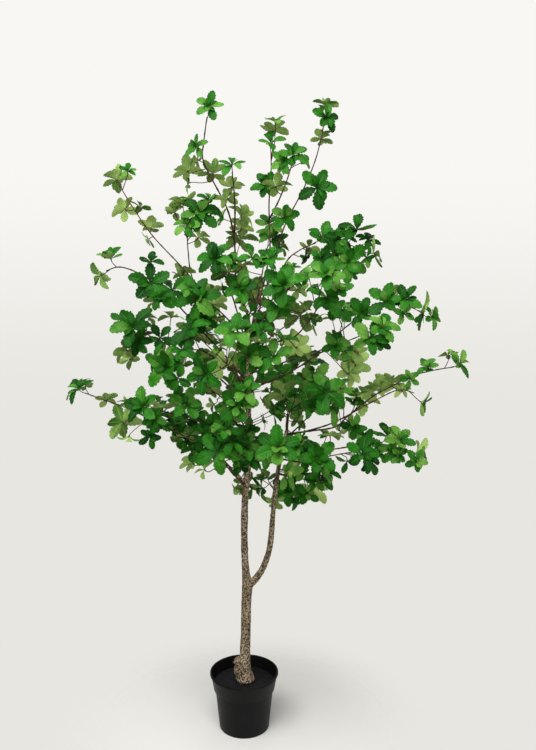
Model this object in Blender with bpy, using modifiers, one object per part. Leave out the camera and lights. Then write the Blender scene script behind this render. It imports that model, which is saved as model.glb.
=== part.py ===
# Potted enkianthus tree: a nursery pot, its dark filling, a forked trunk and its leafy sprays.
# Metres, +Z up. The origin is the centre of the pot's foot and the front is -Y.

import math
import random

import bmesh
import bpy
from mathutils import Vector
from mathutils.bvhtree import BVHTree

# Driving sizes of the pot and its filling
potHeight = 0.170
rimRadius = 0.100
lipDrop = 0.007
lipReach = 0.003
collarDrop = 0.052
collarTaper = 0.008
collarStep = 0.0046
footRadius = 0.0728
footRing = 0.004
footLand = 0.007
standRadius = 0.030
wallThickness = 0.0018
floorThickness = 0.003
drainRadius = 0.005
drainCircle = 0.045
drainCount = 6
fillDrop = 0.034
fillSwell = 0.0018
potSteps = 24
gap = 0.0003

# Driving sizes of the trunk
trunkRadius = 0.0145
mainRadius = 0.0110
mainTopRadius = 0.0085
sideRadius = 0.0098
sideTopRadius = 0.0072
pegRadius = 0.0130
pegDepth = 0.085
flareRadius = 0.0285
stubRadius = 0.0145
limbRadius = 0.0072

# Driving sizes of the sprays
stemRadius = 0.0026
leaderRadius = 0.0034
stemTipRadius = 0.0014
twigRadius = 0.0012
twigBend = 0.010
twigSocket = 0.0035
budHeight = 0.0022
clearance = 0.0012

# Driving sizes of the leaves: how far out the blade is widest and where its blunt tip begins,
# as shares of its length, half the tip's width as a share of the blade's, and the tip's droop
bladeThickness = 0.0008
bladeWidest = 0.60
bladeTip = 0.95
tipWidth = 0.20
tipDroop = 0.10
bladeNeck = 0.0050
leafReach = 0.50

# The front view that the tree is laid out in: picture points in pixels, depths in metres
viewWidth = 536
viewHeight = 750
viewFocal = 801.0
viewTilt = math.radians(8.54)
viewEye = Vector((0.070, -2.200, 1.380))

# The trunk's foot: height above the filling, share of the flare's radius
flareRun = [(0.0, 0.80), (0.009, 1.0), (0.021, 0.84), (0.034, 0.62)]

# Each wood run: picture x, picture y, depth towards the back in cm, share of its radius
mainRun = [
    (245, 655, 0.0, 1.10), (245.8, 630, 0.0, 1.0), (246.3, 604, 0.2, 1.0), (247.2, 586, 0.2, 1.08),
    (245.9, 572, 0.1, 1.02), (244.6, 552, 0.0, 0.98), (244.4, 520, -0.3, 1.0), (245.4, 494, -0.4, 1.0),
    (247.5, 470, -0.2, 1.04), (248, 440, 0.3, 0.98), (248.5, 412, 0.4, 0.92), (248, 385, 0.1, 0.90),
    (246, 363, -0.4, 0.90), (248.5, 342, -0.3, 0.94), (251, 324, 0.0, 1.06),
]
sideRun = [
    (247.5, 588, 0.2, 0.80), (255, 579.5, 0.3, 1.08), (262.2, 569.5, 0.3, 1.02), (267.6, 556, 0.1, 0.98),
    (270.8, 540, -0.2, 0.98), (272.9, 515, -0.5, 0.94), (275.6, 488, -0.6, 0.92), (280, 460, -0.4, 0.86),
    (287, 430, 0.0, 0.78),
]
limbRun = [(247, 488, -0.3, 1.0), (240, 479, -0.5, 0.95), (231, 468, -0.6, 0.80)]
stubRun = [
    (242.3, 677, -0.2, 1.0), (238.7, 670.5, -0.6, 1.0), (239.8, 662.8, -0.9, 1.0), (237.2, 659.2, -1.1, 1.10),
]

# Each spray: its stem, as picture x, picture y and depth in cm, and its whorls, as picture x,
# picture y, width in pixels and the way each faces: f the front, s up and sideways, u up, with
# its underside to the front, and b the back
sprays = {
    "leader_left": dict(stem=[
        (249.3, 328, 0.1), (248.4, 318, 0.2), (243, 303, 1), (236, 282, 2), (235, 250, 2),
        (232, 226, 1), (226, 206, 0), (213, 181, -1), (203, 160, -2), (204, 140, -3), (207, 117, -3)],
        whorls=[(209, 107, 30, "f"), (188, 171, 32, "u"), (213, 174, 30, "u")]),
    "leader_right": dict(stem=[
        (252.7, 328, -0.1), (253.6, 318, -0.3), (257, 305, -1), (262, 290, -1), (267, 268, 0),
        (270, 248, 0), (269, 205, 1), (271, 175, 1), (271, 152, 1)],
        whorls=[(273, 131, 30, "u"), (265, 186, 30, "f"), (277, 166, 24, "s")]),
    "spray_top_front": dict(stem=[
        (268, 222, 0.5), (279, 200, -6), (287, 180, -10), (292, 164, -12)],
        whorls=[(293, 155, 34, "f"), (276, 187, 30, "u")]),
    "spray_top_left": dict(stem=[
        (234, 240, 1.7), (235, 215, -4), (234, 190, -8), (232, 172, -10)],
        whorls=[(232, 165, 30, "s"), (241, 216, 34, "u")]),
    "spray_top_right": dict(stem=[
        (252, 333, 0), (264, 295, 4), (275, 258, 7), (285, 225, 8), (303, 190, 7), (314, 164, 6),
        (320, 143, 5), (325, 118, 4)],
        whorls=[(326, 106, 30, "u"), (317, 188, 38, "f")]),
    "spray_high_left": dict(stem=[
        (247, 375, 0), (240, 345, 3), (225, 322, 5), (200, 288, 8), (178, 263, 9), (152, 235, 9),
        (130, 203, 8), (119, 184, 7)],
        whorls=[(117, 180, 32, "u"), (151, 228, 26, "u")]),
    "spray_high_inner": dict(stem=[
        (247, 368, 0), (229, 335, 9), (206, 302, 14), (192, 277, 14), (188, 250, 11), (187, 230, 8)],
        whorls=[(200, 213, 42, "f"), (183, 204, 34, "u")]),
    "spray_upper_front": dict(stem=[
        (247.5, 352, -0.4), (240, 322, -10), (232, 295, -17), (225, 274, -20)],
        whorls=[(215, 260, 40, "f"), (239, 287, 34, "f")]),
    "spray_upper_mid": dict(stem=[
        (250, 338, 0), (256, 305, 7), (262, 275, 11), (266, 248, 12)],
        whorls=[(272, 238, 34, "f"), (248, 298, 30, "s")]),
    "spray_upper_right": dict(stem=[
        (251, 330, 0), (272, 322, -9), (283, 305, -16), (285, 292, -19)],
        whorls=[(284, 286, 44, "f"), (278, 306, 34, "f")]),
    "spray_shoulder": dict(stem=[
        (248.8, 346, -0.3), (260, 326, -2), (271, 303, -4), (285, 264, -7), (300, 250, -9), (316, 243, -10)],
        whorls=[(322, 237, 32, "f"), (309, 248, 24, "u")]),
    "spray_shoulder_back": dict(stem=[
        (251, 350, 0), (272, 318, 8), (297, 276, 15), (320, 259, 17), (343, 245, 15), (360, 249, 13)],
        whorls=[(373, 253, 34, "s"), (334, 243, 36, "f")]),
    "spray_right_bright": dict(stem=[
        (250, 356, 0), (274, 343, -9), (294, 337, -15), (308, 322, -18), (322, 302, -20)],
        whorls=[(327, 297, 42, "f"), (325, 275, 38, "f")]),
    "spray_right_high": dict(stem=[
        (249, 374, 0), (285, 362, 8), (321, 350, 14), (340, 332, 16), (362, 316, 16), (388, 306, 14),
        (411, 305, 12)],
        whorls=[(421, 311, 38, "s"), (386, 302, 40, "f")]),
    "spray_right_mid": dict(stem=[
        (249, 390, 0), (290, 372, -5), (322, 352, -9), (345, 342, -11), (368, 333, -12)],
        whorls=[(383, 328, 36, "f"), (336, 346, 30, "f")]),
    "spray_right_long": dict(stem=[
        (286, 434, 0), (310, 431, 3), (335, 427, 6), (347, 417, 7), (372, 397, 8), (392, 386, 8),
        (412, 376, 7), (435, 370, 6), (454, 367, 5)],
        whorls=[(459, 364, 36, "s"), (392, 384, 36, "u"), (428, 368, 24, "s")]),
    "spray_right_drop": dict(stem=[
        (286, 436, 0), (330, 424, -6), (372, 402, -9), (398, 390, -10), (414, 393, -10)],
        whorls=[(421, 402, 28, "s"), (354, 427, 26, "f")]),
    "spray_right_low": dict(stem=[
        (284, 446, -0.2), (303, 451, 5), (327, 450, 8), (355, 446, 9), (380, 444, 9), (400, 448, 8),
        (412, 452, 7)],
        whorls=[(416, 453, 34, "s"), (366, 443, 30, "f")]),
    "spray_right_under": dict(stem=[
        (281, 459, -0.4), (305, 462, -9), (330, 456, -14), (352, 452, -15)],
        whorls=[(362, 454, 36, "f"), (317, 458, 40, "f")]),
    "spray_right_base": dict(stem=[
        (278, 474, -0.5), (296, 478, 6), (310, 480, 10)],
        whorls=[(320, 480, 34, "f"), (313, 490, 36, "u")]),
    "spray_side_top": dict(stem=[
        (287, 431, 0), (290, 412, -6), (304, 402, -13), (320, 398, -17)],
        whorls=[(325, 392, 44, "f"), (330, 407, 40, "f")]),
    "spray_side_up": dict(stem=[
        (286, 435, 0), (288, 412, 7), (298, 392, 12), (306, 377, 14)],
        whorls=[(313, 378, 36, "f"), (308, 362, 44, "f")]),
    "spray_side_front": dict(stem=[
        (277, 478, -0.5), (279, 468, -11), (280, 458, -19), (279, 453, -22)],
        whorls=[(278, 448, 44, "f"), (286, 474, 34, "f")]),
    "spray_side_under": dict(stem=[
        (275, 492, -0.6), (279, 492, 7), (284, 492, 13)],
        whorls=[(286, 492, 34, "f"), (268, 478, 26, "b")]),
    "spray_main_bright": dict(stem=[
        (249, 402, 0.4), (256, 380, -11), (266, 366, -19), (272, 361, -22)],
        whorls=[(274, 357, 38, "f"), (256, 343, 36, "u")]),
    "spray_main_pale": dict(stem=[
        (248, 396, 0.2), (238, 378, -12), (229, 367, -20), (225, 362, -24)],
        whorls=[(220, 367, 34, "u"), (233, 332, 40, "f")]),
    "spray_main_left": dict(stem=[
        (248, 386, 0), (226, 366, -8), (200, 350, -14), (178, 355, -17)],
        whorls=[(167, 367, 46, "f"), (190, 330, 46, "f")]),
    "spray_mid_left": dict(stem=[
        (248, 407, 0.4), (226, 384, 6), (198, 362, 10), (170, 346, 11), (150, 336, 9), (138, 330, 7)],
        whorls=[(133, 327, 48, "f"), (127, 350, 32, "u")]),
    "spray_far_left": dict(stem=[
        (247, 380, 0), (216, 346, -5), (188, 316, -8), (163, 290, -9), (140, 274, -9), (120, 267, -8),
        (106, 271, -7)],
        whorls=[(101, 275, 32, "s"), (150, 283, 42, "f")]),
    "spray_upper_left": dict(stem=[
        (249, 348, -0.2), (233, 325, -6), (216, 308, -11), (204, 300, -13)],
        whorls=[(198, 299, 44, "f"), (214, 304, 30, "u")]),
    "spray_low_tip": dict(stem=[
        (231.5, 468.5, -0.6), (214, 452, 1), (190, 439, 3), (160, 424, 4), (127, 408, 4), (107, 401, 3),
        (85, 393, 2)],
        whorls=[(79, 389, 32, "s"), (123, 422, 38, "u")]),
    "spray_low_left": dict(stem=[
        (247, 447, 0.3), (225, 432, -7), (198, 420, -12), (170, 413, -14), (152, 410, -14)],
        whorls=[(143, 407, 40, "f"), (163, 408, 40, "u")]),
    "spray_low_back": dict(stem=[
        (247, 458, 0), (222, 446, 10), (198, 436, 17), (182, 430, 20)],
        whorls=[(178, 427, 34, "f"), (190, 440, 28, "f")]),
    "spray_low_front": dict(stem=[
        (245, 484, -0.4), (233, 474, -12), (224, 462, -19), (220, 456, -21)],
        whorls=[(218, 452, 46, "f"), (233, 441, 32, "f")]),
    "spray_low_side": dict(stem=[
        (233, 470.5, -0.6), (219, 463, -4), (206, 460, -6)],
        whorls=[(193, 463, 30, "u"), (196, 450, 28, "f")]),
    "spray_low_mid": dict(stem=[
        (246.5, 478, -0.3), (246, 467, 8), (246, 457, 13)],
        whorls=[(246, 450, 40, "f"), (246, 484, 30, "s")]),
    "spray_mid_front": dict(stem=[
        (248, 442, 0.3), (243, 424, -11), (236, 412, -20), (234, 408, -23)],
        whorls=[(237, 405, 40, "f"), (225, 421, 32, "f")]),
    "spray_mid_back": dict(stem=[
        (248, 427, 0.4), (234, 408, 10), (220, 396, 17), (211, 391, 19)],
        whorls=[(207, 392, 36, "u"), (230, 385, 34, "b")]),
    "spray_back_high": dict(stem=[
        (250, 343, 0), (249, 318, 12), (240, 295, 21), (232, 280, 26)],
        whorls=[(228, 272, 40, "b"), (252, 300, 38, "b")]),
    "spray_back_right": dict(stem=[
        (249.5, 362, 0), (262, 345, 12), (280, 330, 23), (292, 322, 29)],
        whorls=[(300, 316, 42, "b"), (272, 322, 38, "b")]),
    "spray_back_left": dict(stem=[
        (248, 382, 0), (232, 366, 12), (212, 350, 22), (202, 340, 28)],
        whorls=[(196, 334, 42, "b"), (210, 362, 34, "b")]),
    "spray_back_mid": dict(stem=[
        (249, 412, 0.4), (254, 398, 13), (251, 384, 25), (248, 374, 33)],
        whorls=[(246, 364, 40, "b"), (238, 390, 36, "b")]),
    "spray_back_low": dict(stem=[
        (248, 436, 0.4), (240, 437, 12), (229, 437, 21), (222, 436, 26)],
        whorls=[(214, 436, 40, "b"), (238, 446, 36, "b")]),
    "spray_back_side": dict(stem=[
        (286, 438, 0), (297, 428, 11), (312, 413, 20), (320, 404, 25)],
        whorls=[(327, 398, 42, "b"), (308, 404, 36, "b")]),
}
sturdyStems = {"leader_left", "leader_right"}

# How far a whorl's axis leans, towards the picture's right, the back and up, and how much it
# follows its twig on top of that
facings = {"f": (0.0, -0.80, 0.62), "s": (0.0, -0.16, 0.50), "u": (0.0, 0.42, 0.90), "b": (0.0, 0.72, 0.62)}
follow = {"f": 0.55, "s": 1.30, "u": 0.55, "b": 0.55}
depthBias = {"f": -0.022, "s": 0.0, "u": 0.014, "b": 0.028}


def viewRay(px, py):
    forward = Vector((0, math.cos(viewTilt), -math.sin(viewTilt)))
    up = Vector((0, math.sin(viewTilt), math.cos(viewTilt)))
    right = Vector((1, 0, 0))
    return forward * viewFocal + right * (px - viewWidth / 2) + up * (viewHeight / 2 - py)


def viewPoint(px, py, depth):
    ray = viewRay(px, py)
    return viewEye + ray * ((depth - viewEye.y) / ray.y)


def viewScale(point):
    # Metres that one picture pixel spans at a point
    forward = Vector((0, math.cos(viewTilt), -math.sin(viewTilt)))
    return (point - viewEye).dot(forward) / viewFocal


def runPoints(run):
    return [viewPoint(px, py, cm / 100) for px, py, cm, _ in run]


def runRadii(run, start, end):
    last = len(run) - 1
    return [(start + (end - start) * i / last) * row[3] for i, row in enumerate(run)]


def clearScene():
    for old in list(bpy.data.objects):
        bpy.data.objects.remove(old, do_unlink=True)


def newCollection(name):
    collection = bpy.data.collections.new(name)
    bpy.context.scene.collection.children.link(collection)
    return collection


def newMaterial(name, colour, roughness):
    material = bpy.data.materials.new(name)
    material.use_nodes = True
    shader = material.node_tree.nodes["Principled BSDF"]
    shader.inputs["Base Color"].default_value = (*colour, 1.0)
    shader.inputs["Roughness"].default_value = roughness
    shader.inputs["Metallic"].default_value = 0.0
    return material


def meshObject(name, verts, faces, collection):
    mesh = bpy.data.meshes.new(name)
    mesh.from_pydata([tuple(v) for v in verts], [], faces)
    mesh.update()
    made = bpy.data.objects.new(name, mesh)
    collection.objects.link(made)
    return made


def tubeObject(name, points, radii, resolution, collection):
    # A closed tube along a run of points, as a bevelled curve made into a mesh
    curve = bpy.data.curves.new(name, "CURVE")
    curve.dimensions = "3D"
    curve.bevel_depth = 1.0
    curve.bevel_resolution = resolution
    curve.use_fill_caps = True
    spline = curve.splines.new("POLY")
    spline.points.add(len(points) - 1)
    for knot, point, radius in zip(spline.points, points, radii):
        knot.co = (*point, 1.0)
        knot.radius = radius
    holder = bpy.data.objects.new(name + "_curve", curve)
    collection.objects.link(holder)
    graph = bpy.context.evaluated_depsgraph_get()
    mesh = bpy.data.meshes.new_from_object(holder.evaluated_get(graph))
    shell = bmesh.new()
    shell.from_mesh(mesh)
    bmesh.ops.remove_doubles(shell, verts=shell.verts, dist=0.00001)
    bmesh.ops.recalc_face_normals(shell, faces=shell.faces)
    shell.to_mesh(mesh)
    shell.free()
    made = bpy.data.objects.new(name, mesh)
    made.matrix_world = holder.matrix_world
    collection.objects.link(made)
    bpy.data.objects.remove(holder, do_unlink=True)
    return made


def applyModifiers(target):
    graph = bpy.context.evaluated_depsgraph_get()
    mesh = bpy.data.meshes.new_from_object(target.evaluated_get(graph))
    target.modifiers.clear()
    target.data = mesh


def joinAll(target, extras, name):
    # One union of the target with everything in a collection of its own
    group = newCollection(name + "_joins")
    for extra in extras:
        for old in list(extra.users_collection):
            old.objects.unlink(extra)
        group.objects.link(extra)
    union = target.modifiers.new("union", "BOOLEAN")
    union.operation = "UNION"
    union.operand_type = "COLLECTION"
    union.collection = group
    union.solver = "EXACT"
    applyModifiers(target)
    for extra in list(group.objects):
        bpy.data.objects.remove(extra, do_unlink=True)
    bpy.data.collections.remove(group)


def cutWith(target, cutter):
    cutter.hide_render = True
    cutter.display_type = "WIRE"
    cut = target.modifiers.new("cut", "BOOLEAN")
    cut.operation = "DIFFERENCE"
    cut.object = cutter
    cut.solver = "EXACT"


def turned(name, profile, steps, collection):
    # A solid of revolution: the profile runs down its outer side, top to bottom
    mesh = bpy.data.meshes.new(name)
    edges = [(i, i + 1) for i in range(len(profile) - 1)]
    mesh.from_pydata([(radius, 0, z) for radius, z in profile], edges, [])
    made = bpy.data.objects.new(name, mesh)
    collection.objects.link(made)
    screw = made.modifiers.new("turn", "SCREW")
    screw.steps = steps
    screw.render_steps = steps
    screw.use_merge_vertices = True
    screw.merge_threshold = 0.00005
    return made


def potWall(z):
    # Outer radius of the pot at a height, below the lip
    shoulder = potHeight - collarDrop
    if z > shoulder:
        share = (z - shoulder) / (collarDrop - lipDrop)
        return rimRadius - lipReach - collarTaper * (1 - share)
    share = z / shoulder
    top = rimRadius - lipReach - collarTaper - collarStep
    return footRadius + (top - footRadius) * share


def makePot(parts, cutters, material):
    shoulder = potHeight - collarDrop
    innerStep = potWall(shoulder) - wallThickness
    profile = [
        (0.0, floorThickness + footRing),
        (footRadius - wallThickness, floorThickness + footRing),
        (innerStep, shoulder - 0.001),
        (potWall(shoulder + 0.001) - wallThickness, shoulder + 0.003),
        (rimRadius - lipReach - wallThickness, potHeight),
        (rimRadius - 0.0008, potHeight),
        (rimRadius, potHeight - 0.0012),
        (rimRadius, potHeight - lipDrop + 0.001),
        (potWall(potHeight - lipDrop), potHeight - lipDrop),
        (potWall(shoulder + 0.001), shoulder + 0.001),
        (potWall(shoulder), shoulder - 0.0015),
        (footRadius + 0.0004, 0.003),
        (footRadius - 0.001, 0.0),
        (footRadius - footLand, 0.0),
        (footRadius - footLand - 0.002, footRing),
        (standRadius, footRing),
        (standRadius - 0.002, 0.0),
        (0.0, 0.0),
    ]
    pot = turned("pot", profile, potSteps, parts)
    pot.data.materials.append(material)
    for i in range(drainCount):
        turn = math.tau * (i + 0.37) / drainCount
        bpy.ops.mesh.primitive_cylinder_add(vertices=6, radius=drainRadius, depth=0.03,
                                            location=(drainCircle * math.cos(turn),
                                                      drainCircle * math.sin(turn), 0.006))
        cutter = bpy.context.object
        cutter.name = f"drain_cutter_{i + 1}"
        for old in list(cutter.users_collection):
            old.objects.unlink(cutter)
        cutters.objects.link(cutter)
        cutWith(pot, cutter)
    return pot


def fillTop():
    return potHeight - fillDrop


def makeFill(parts, cutters, material, pegCentre):
    # The filling follows the pot's inside, with a low swell round the trunk
    top = fillTop()
    low = floorThickness + footRing + gap
    shoulder = potHeight - collarDrop
    inner = wallThickness + gap
    profile = [
        (0.0, top + fillSwell),
        (0.040, top + fillSwell * 0.8),
        (potWall(top) - inner - 0.001, top),
        (potWall(shoulder) - inner - 0.0002, shoulder - 0.002),
        (footRadius - inner - 0.0006, low),
        (0.0, low),
    ]
    fill = turned("fill", profile, potSteps, parts)
    fill.data.materials.append(material)
    bpy.ops.mesh.primitive_cylinder_add(vertices=8, radius=pegRadius + gap * 3.6, depth=pegDepth * 2,
                                        location=(pegCentre.x, pegCentre.y, top + gap))
    hole = bpy.context.object
    hole.name = "trunk_hole_cutter"
    for old in list(hole.users_collection):
        old.objects.unlink(hole)
    cutters.objects.link(hole)
    cutWith(fill, hole)
    return fill


def woodTubes(pegCentre, collection):
    # The trunk's pieces before they are joined: the main stem rises from a peg in the filling,
    # swells into a flare and forks, with a short limb and a cut stub
    seat = fillTop() + fillSwell + gap
    rootPoints = [Vector((pegCentre.x, pegCentre.y, seat + rise)) for rise, _ in flareRun]
    rootRadii = [flareRadius * share for _, share in flareRun]
    forkRow = 4
    mainRadii = []
    for i, row in enumerate(mainRun):
        share = max(0.0, (i - forkRow + 1) / (len(mainRun) - forkRow))
        base = trunkRadius if i < forkRow else mainRadius + (mainTopRadius - mainRadius) * share
        mainRadii.append(base * row[3])
    pegPoints = [Vector((pegCentre.x, pegCentre.y, seat + rise)) for rise in (0.012, -pegDepth)]
    return [
        tubeObject("trunk", rootPoints + runPoints(mainRun), rootRadii + mainRadii, 2, collection),
        tubeObject("side", runPoints(sideRun), runRadii(sideRun, sideRadius, sideTopRadius), 2, collection),
        tubeObject("limb", runPoints(limbRun), runRadii(limbRun, limbRadius, limbRadius), 1, collection),
        tubeObject("stub", runPoints(stubRun), runRadii(stubRun, stubRadius, stubRadius), 1, collection),
        tubeObject("peg", pegPoints, [pegRadius, pegRadius], 2, collection),
    ]


def surfaceTree(made):
    mesh = made.data
    return BVHTree.FromPolygons([v.co for v in mesh.vertices], [p.vertices for p in mesh.polygons])


def meshTree(verts, faces):
    return BVHTree.FromPolygons([tuple(v) for v in verts], faces)


def crossFrame(direction):
    # Two directions square to a direction and to each other
    side = direction.cross(Vector((0, 0, 1)))
    if side.length < 0.05:
        side = direction.cross(Vector((1, 0, 0)))
    side.normalize()
    return side, direction.cross(side).normalized()


def tubeShell(points, radii, sides):
    # A plain closed tube, for testing what a stem would touch
    verts = []
    faces = []
    for i, point in enumerate(points):
        before = points[max(i - 1, 0)]
        after = points[min(i + 1, len(points) - 1)]
        side, other = crossFrame((after - before).normalized())
        for k in range(sides):
            turn = math.tau * k / sides
            verts.append(point + (side * math.cos(turn) + other * math.sin(turn)) * radii[i])
    for i in range(len(points) - 1):
        for k in range(sides):
            j = (k + 1) % sides
            faces.append((i * sides + k, i * sides + j, (i + 1) * sides + j, (i + 1) * sides + k))
    faces.append(tuple(reversed(range(sides))))
    faces.append(tuple(range((len(points) - 1) * sides, len(points) * sides)))
    return verts, faces


def whorlLeaves(radius, rng):
    # A whorl's leaves: turn, length, width and rise of each
    count = rng.choice((5, 5, 5, 6)) if radius > 0.038 else rng.choice((4, 5, 5))
    spin = rng.uniform(0, math.tau)
    leaves = []
    for k in range(count):
        turn = spin + math.tau * (k + rng.uniform(-0.06, 0.06)) / count
        length = radius * rng.uniform(0.90, 1.10)
        widest = 2 * bladeWidest * length * math.tan(0.42 * math.tau / count)
        width = min(length * rng.uniform(0.52, 0.60), widest)
        rise = math.radians(rng.uniform(-8, 30))
        leaves.append((turn, length, width, rise))
    return leaves


def whorlShell(centre, axis, leaves, thickness, grow=1.0, twig=None):
    # One thin plate cut into leaves: each has its narrow root, its shoulders and its blunt tip.
    # With a twig, the plate's underside is drawn down into it and its top into a bud.
    side, other = crossFrame(axis)
    count = len(leaves)
    tops = [centre + axis * (budHeight if twig else 0.0)]
    lows = [centre - axis * thickness]
    rings = []
    turns = []
    for k, (turn, length, width, rise) in enumerate(leaves):
        nextTurn = leaves[(k + 1) % count][0] + (math.tau if k == count - 1 else 0.0)
        notchTurn = (turn + nextTurn) / 2
        radial = side * math.cos(turn) + other * math.sin(turn)
        across = other * math.cos(turn) - side * math.sin(turn)
        along = radial * math.cos(rise) + axis * math.sin(rise)
        normal = axis * math.cos(rise) - radial * math.sin(rise)
        tip = centre + along * length * bladeTip * grow - normal * length * tipDroop
        belly = centre + along * length * bladeWidest * grow
        points = [
            belly - across * width * 0.5 * grow,
            tip - across * width * tipWidth * grow,
            tip + across * width * tipWidth * grow,
            belly + across * width * 0.5 * grow,
        ]
        rings.append(len(tops))
        turns.append(notchTurn)
        for point in points:
            tops.append(point)
            lows.append(point - normal * thickness)
        notch = side * math.cos(notchTurn) + other * math.sin(notchTurn)
        tops.append(centre + notch * bladeNeck)
        lows.append(centre + notch * bladeNeck - axis * thickness)
    size = len(tops)
    verts = tops + lows
    faces = []
    outline = []
    for k, first in enumerate(rings):
        last = rings[k - 1] + 4
        nextNotch = first + 4
        blade = [(last, first, first + 3), (last, first + 3, nextNotch),
                 (first, first + 1, first + 2), (first, first + 2, first + 3)]
        faces.append((0, last, nextNotch))
        faces += blade
        faces += [tuple(size + i for i in reversed(face)) for face in blade]
        outline += [first, first + 1, first + 2, first + 3, nextNotch]
        if twig is None:
            faces.append((size, size + nextNotch, size + last))
    for i, start in enumerate(outline):
        end = outline[(i + 1) % len(outline)]
        faces.append((end, start, size + start))
        faces.append((end, size + start, size + end))
    if twig is None:
        return verts, faces
    # Rings down the twig, each turned like the notches, joined to the plate's underside.
    # The lower centre point has no face then, so it is dropped at the end.
    ringAbove = [size + first + 4 for first in rings]
    base, bend = twig
    twigWay = (bend - base).normalized()
    levels = [
        (centre - axis * twigSocket, axis, twigRadius),
        (bend, axis + twigWay, twigRadius),
        (base, twigWay, twigRadius * 1.15),
    ]
    for point, heading, radius in levels:
        heading = heading.normalized()
        ringBelow = []
        for notchTurn in turns:
            spoke = side * math.cos(notchTurn) + other * math.sin(notchTurn)
            spoke = (spoke - heading * spoke.dot(heading)).normalized()
            ringBelow.append(len(verts))
            verts.append(point + spoke * radius)
        for k in range(count):
            j = (k + 1) % count
            faces.append((ringAbove[j], ringAbove[k], ringBelow[k], ringBelow[j]))
        ringAbove = ringBelow
    faces.append(tuple(reversed(ringAbove)))
    return dropVert(verts, faces, size)


def dropVert(verts, faces, gone):
    kept = verts[:gone] + verts[gone + 1:]
    return kept, [tuple(i - 1 if i > gone else i for i in face) for face in faces]


def nearestOnStem(stem, px, py):
    # The place on a stem closest to a picture point, as segment and share of it
    best = None
    for i in range(len(stem) - 1):
        start = Vector(stem[i][:2])
        run = Vector(stem[i + 1][:2]) - start
        reach = Vector((px, py)) - start
        share = max(0.0, min(1.0, reach.dot(run) / max(run.length_squared, 1e-6)))
        away = (reach - run * share).length
        if best is None or away < best[0] - 1e-9:
            best = (away, i, share)
    return best[1], best[2]


def stemPoints(stem, push):
    # World points of a stem. A push bends its middle towards the back, in cm.
    last = len(stem) - 1
    points = []
    for i, (px, py, depth) in enumerate(stem):
        swing = math.sin(math.pi * min(1.0, 1.6 * i / last) / 1.6) if last > 0 else 0.0
        points.append(viewPoint(px, py, (depth + push * swing) / 100))
    return points


def stemRadii(name, points):
    start = leaderRadius if name in sturdyStems else stemRadius
    last = len(points) - 1
    return [start + (stemTipRadius - start) * (i / last) ** 0.8 for i in range(last + 1)]


def standOff(points, radius, blockers):
    # Moves a stem's root out along the stem until it just clears the wood that carries it
    start = points[0]
    heading = (points[1] - start).normalized()
    side, other = crossFrame(heading)
    for step in range(400):
        root = start + heading * step * 0.0002
        clear = True
        for blocker in blockers:
            for k in range(8):
                turn = math.tau * k / 8
                probe = root + (side * math.cos(turn) + other * math.sin(turn)) * radius
                spot, normal, _, away = blocker.find_nearest(probe, 0.06)
                if spot is not None and (probe - spot).dot(normal) < 0:
                    clear = False
                elif spot is not None and away < gap:
                    clear = False
                if not clear:
                    break
            if not clear:
                break
        if clear:
            return [root] + points[1:]
    return points


def touches(tree, others):
    return any(tree.overlap(other) for other in others)


def planStems(woodTrees):
    # Settles every spray's stem, each bent clear of the ones before it
    settled = {}
    trees = {}
    for name, spray in sprays.items():
        carriers = woodTrees + list(trees.values())
        for push in (0, 1.2, -1.2, 2.4, -2.4, 3.6, -3.6, 5, -5):
            points = stemPoints(spray["stem"], push)
            radii = stemRadii(name, points)
            points = standOff(points, radii[0], carriers)
            fat = [radii[0]] + [radius + clearance for radius in radii[1:]]
            if not touches(meshTree(*tubeShell(points, fat, 6)), carriers):
                break
        settled[name] = points
        trees[name] = meshTree(*tubeShell(points, radii, 6))
    return settled, trees


def twigRun(points, spot, centre, axis):
    # The twig leaves its stem a little below the whorl and turns into the whorl's axis
    i, share = spot
    base = points[i].lerp(points[i + 1], share)
    back = min(0.3 * (centre - base).length + 0.004, (base - points[i]).length)
    heading = (points[i + 1] - points[i]).normalized()
    return [base - heading * back, centre - axis * twigBend, centre + axis * budHeight]


def planWhorl(name, index, points, obstacles, fixed):
    # Settles one whorl: its place, its axis and its leaves, clear of all that is settled
    px, py, size, facing = sprays[name]["whorls"][index]
    rng = random.Random(f"{name}:{index}")
    spot = nearestOnStem(sprays[name]["stem"], px, py)
    seat = points[spot[0]].lerp(points[spot[0] + 1], spot[1])
    lean = Vector(facings[facing])
    for attempt in range(90):
        swing = 0.0 if attempt == 0 else (0.004 + 0.0012 * attempt) * (1 if attempt % 2 else -1)
        centre = viewPoint(px, py, seat.y + depthBias[facing] + rng.uniform(-0.012, 0.012) + swing)
        outward = centre - seat if (centre - seat).length > 0.004 else points[-1] - points[-2]
        wobble = Vector((rng.uniform(-0.35, 0.35), rng.uniform(-0.2, 0.2), rng.uniform(-0.2, 0.2)))
        axis = (lean + outward.normalized() * (follow[facing] + 0.012 * attempt) + wobble).normalized()
        leaves = whorlLeaves(size * viewScale(centre) * leafReach, rng)
        twig = twigRun(points, spot, centre, axis)
        if (twig[1] - twig[0]).normalized().dot(axis) < 0.30 or centre.z < potHeight:
            continue
        rodStart = twig[0].lerp(twig[1], 0.12)
        plate = meshTree(*whorlShell(centre + axis * clearance, axis, leaves, clearance * 2, 1.03))
        rod = meshTree(*tubeShell([rodStart, twig[1]], [twigRadius * 1.5] * 2, 4))
        neck = meshTree(*tubeShell(twig[1:], [twigRadius * 1.5] * 2, 4))
        if rod.overlap(plate) or touches(plate, obstacles) or touches(rod, fixed) or touches(neck, fixed):
            continue
        return (centre, axis, leaves, twig), (plate, rod, neck)
    return None, ()


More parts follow.
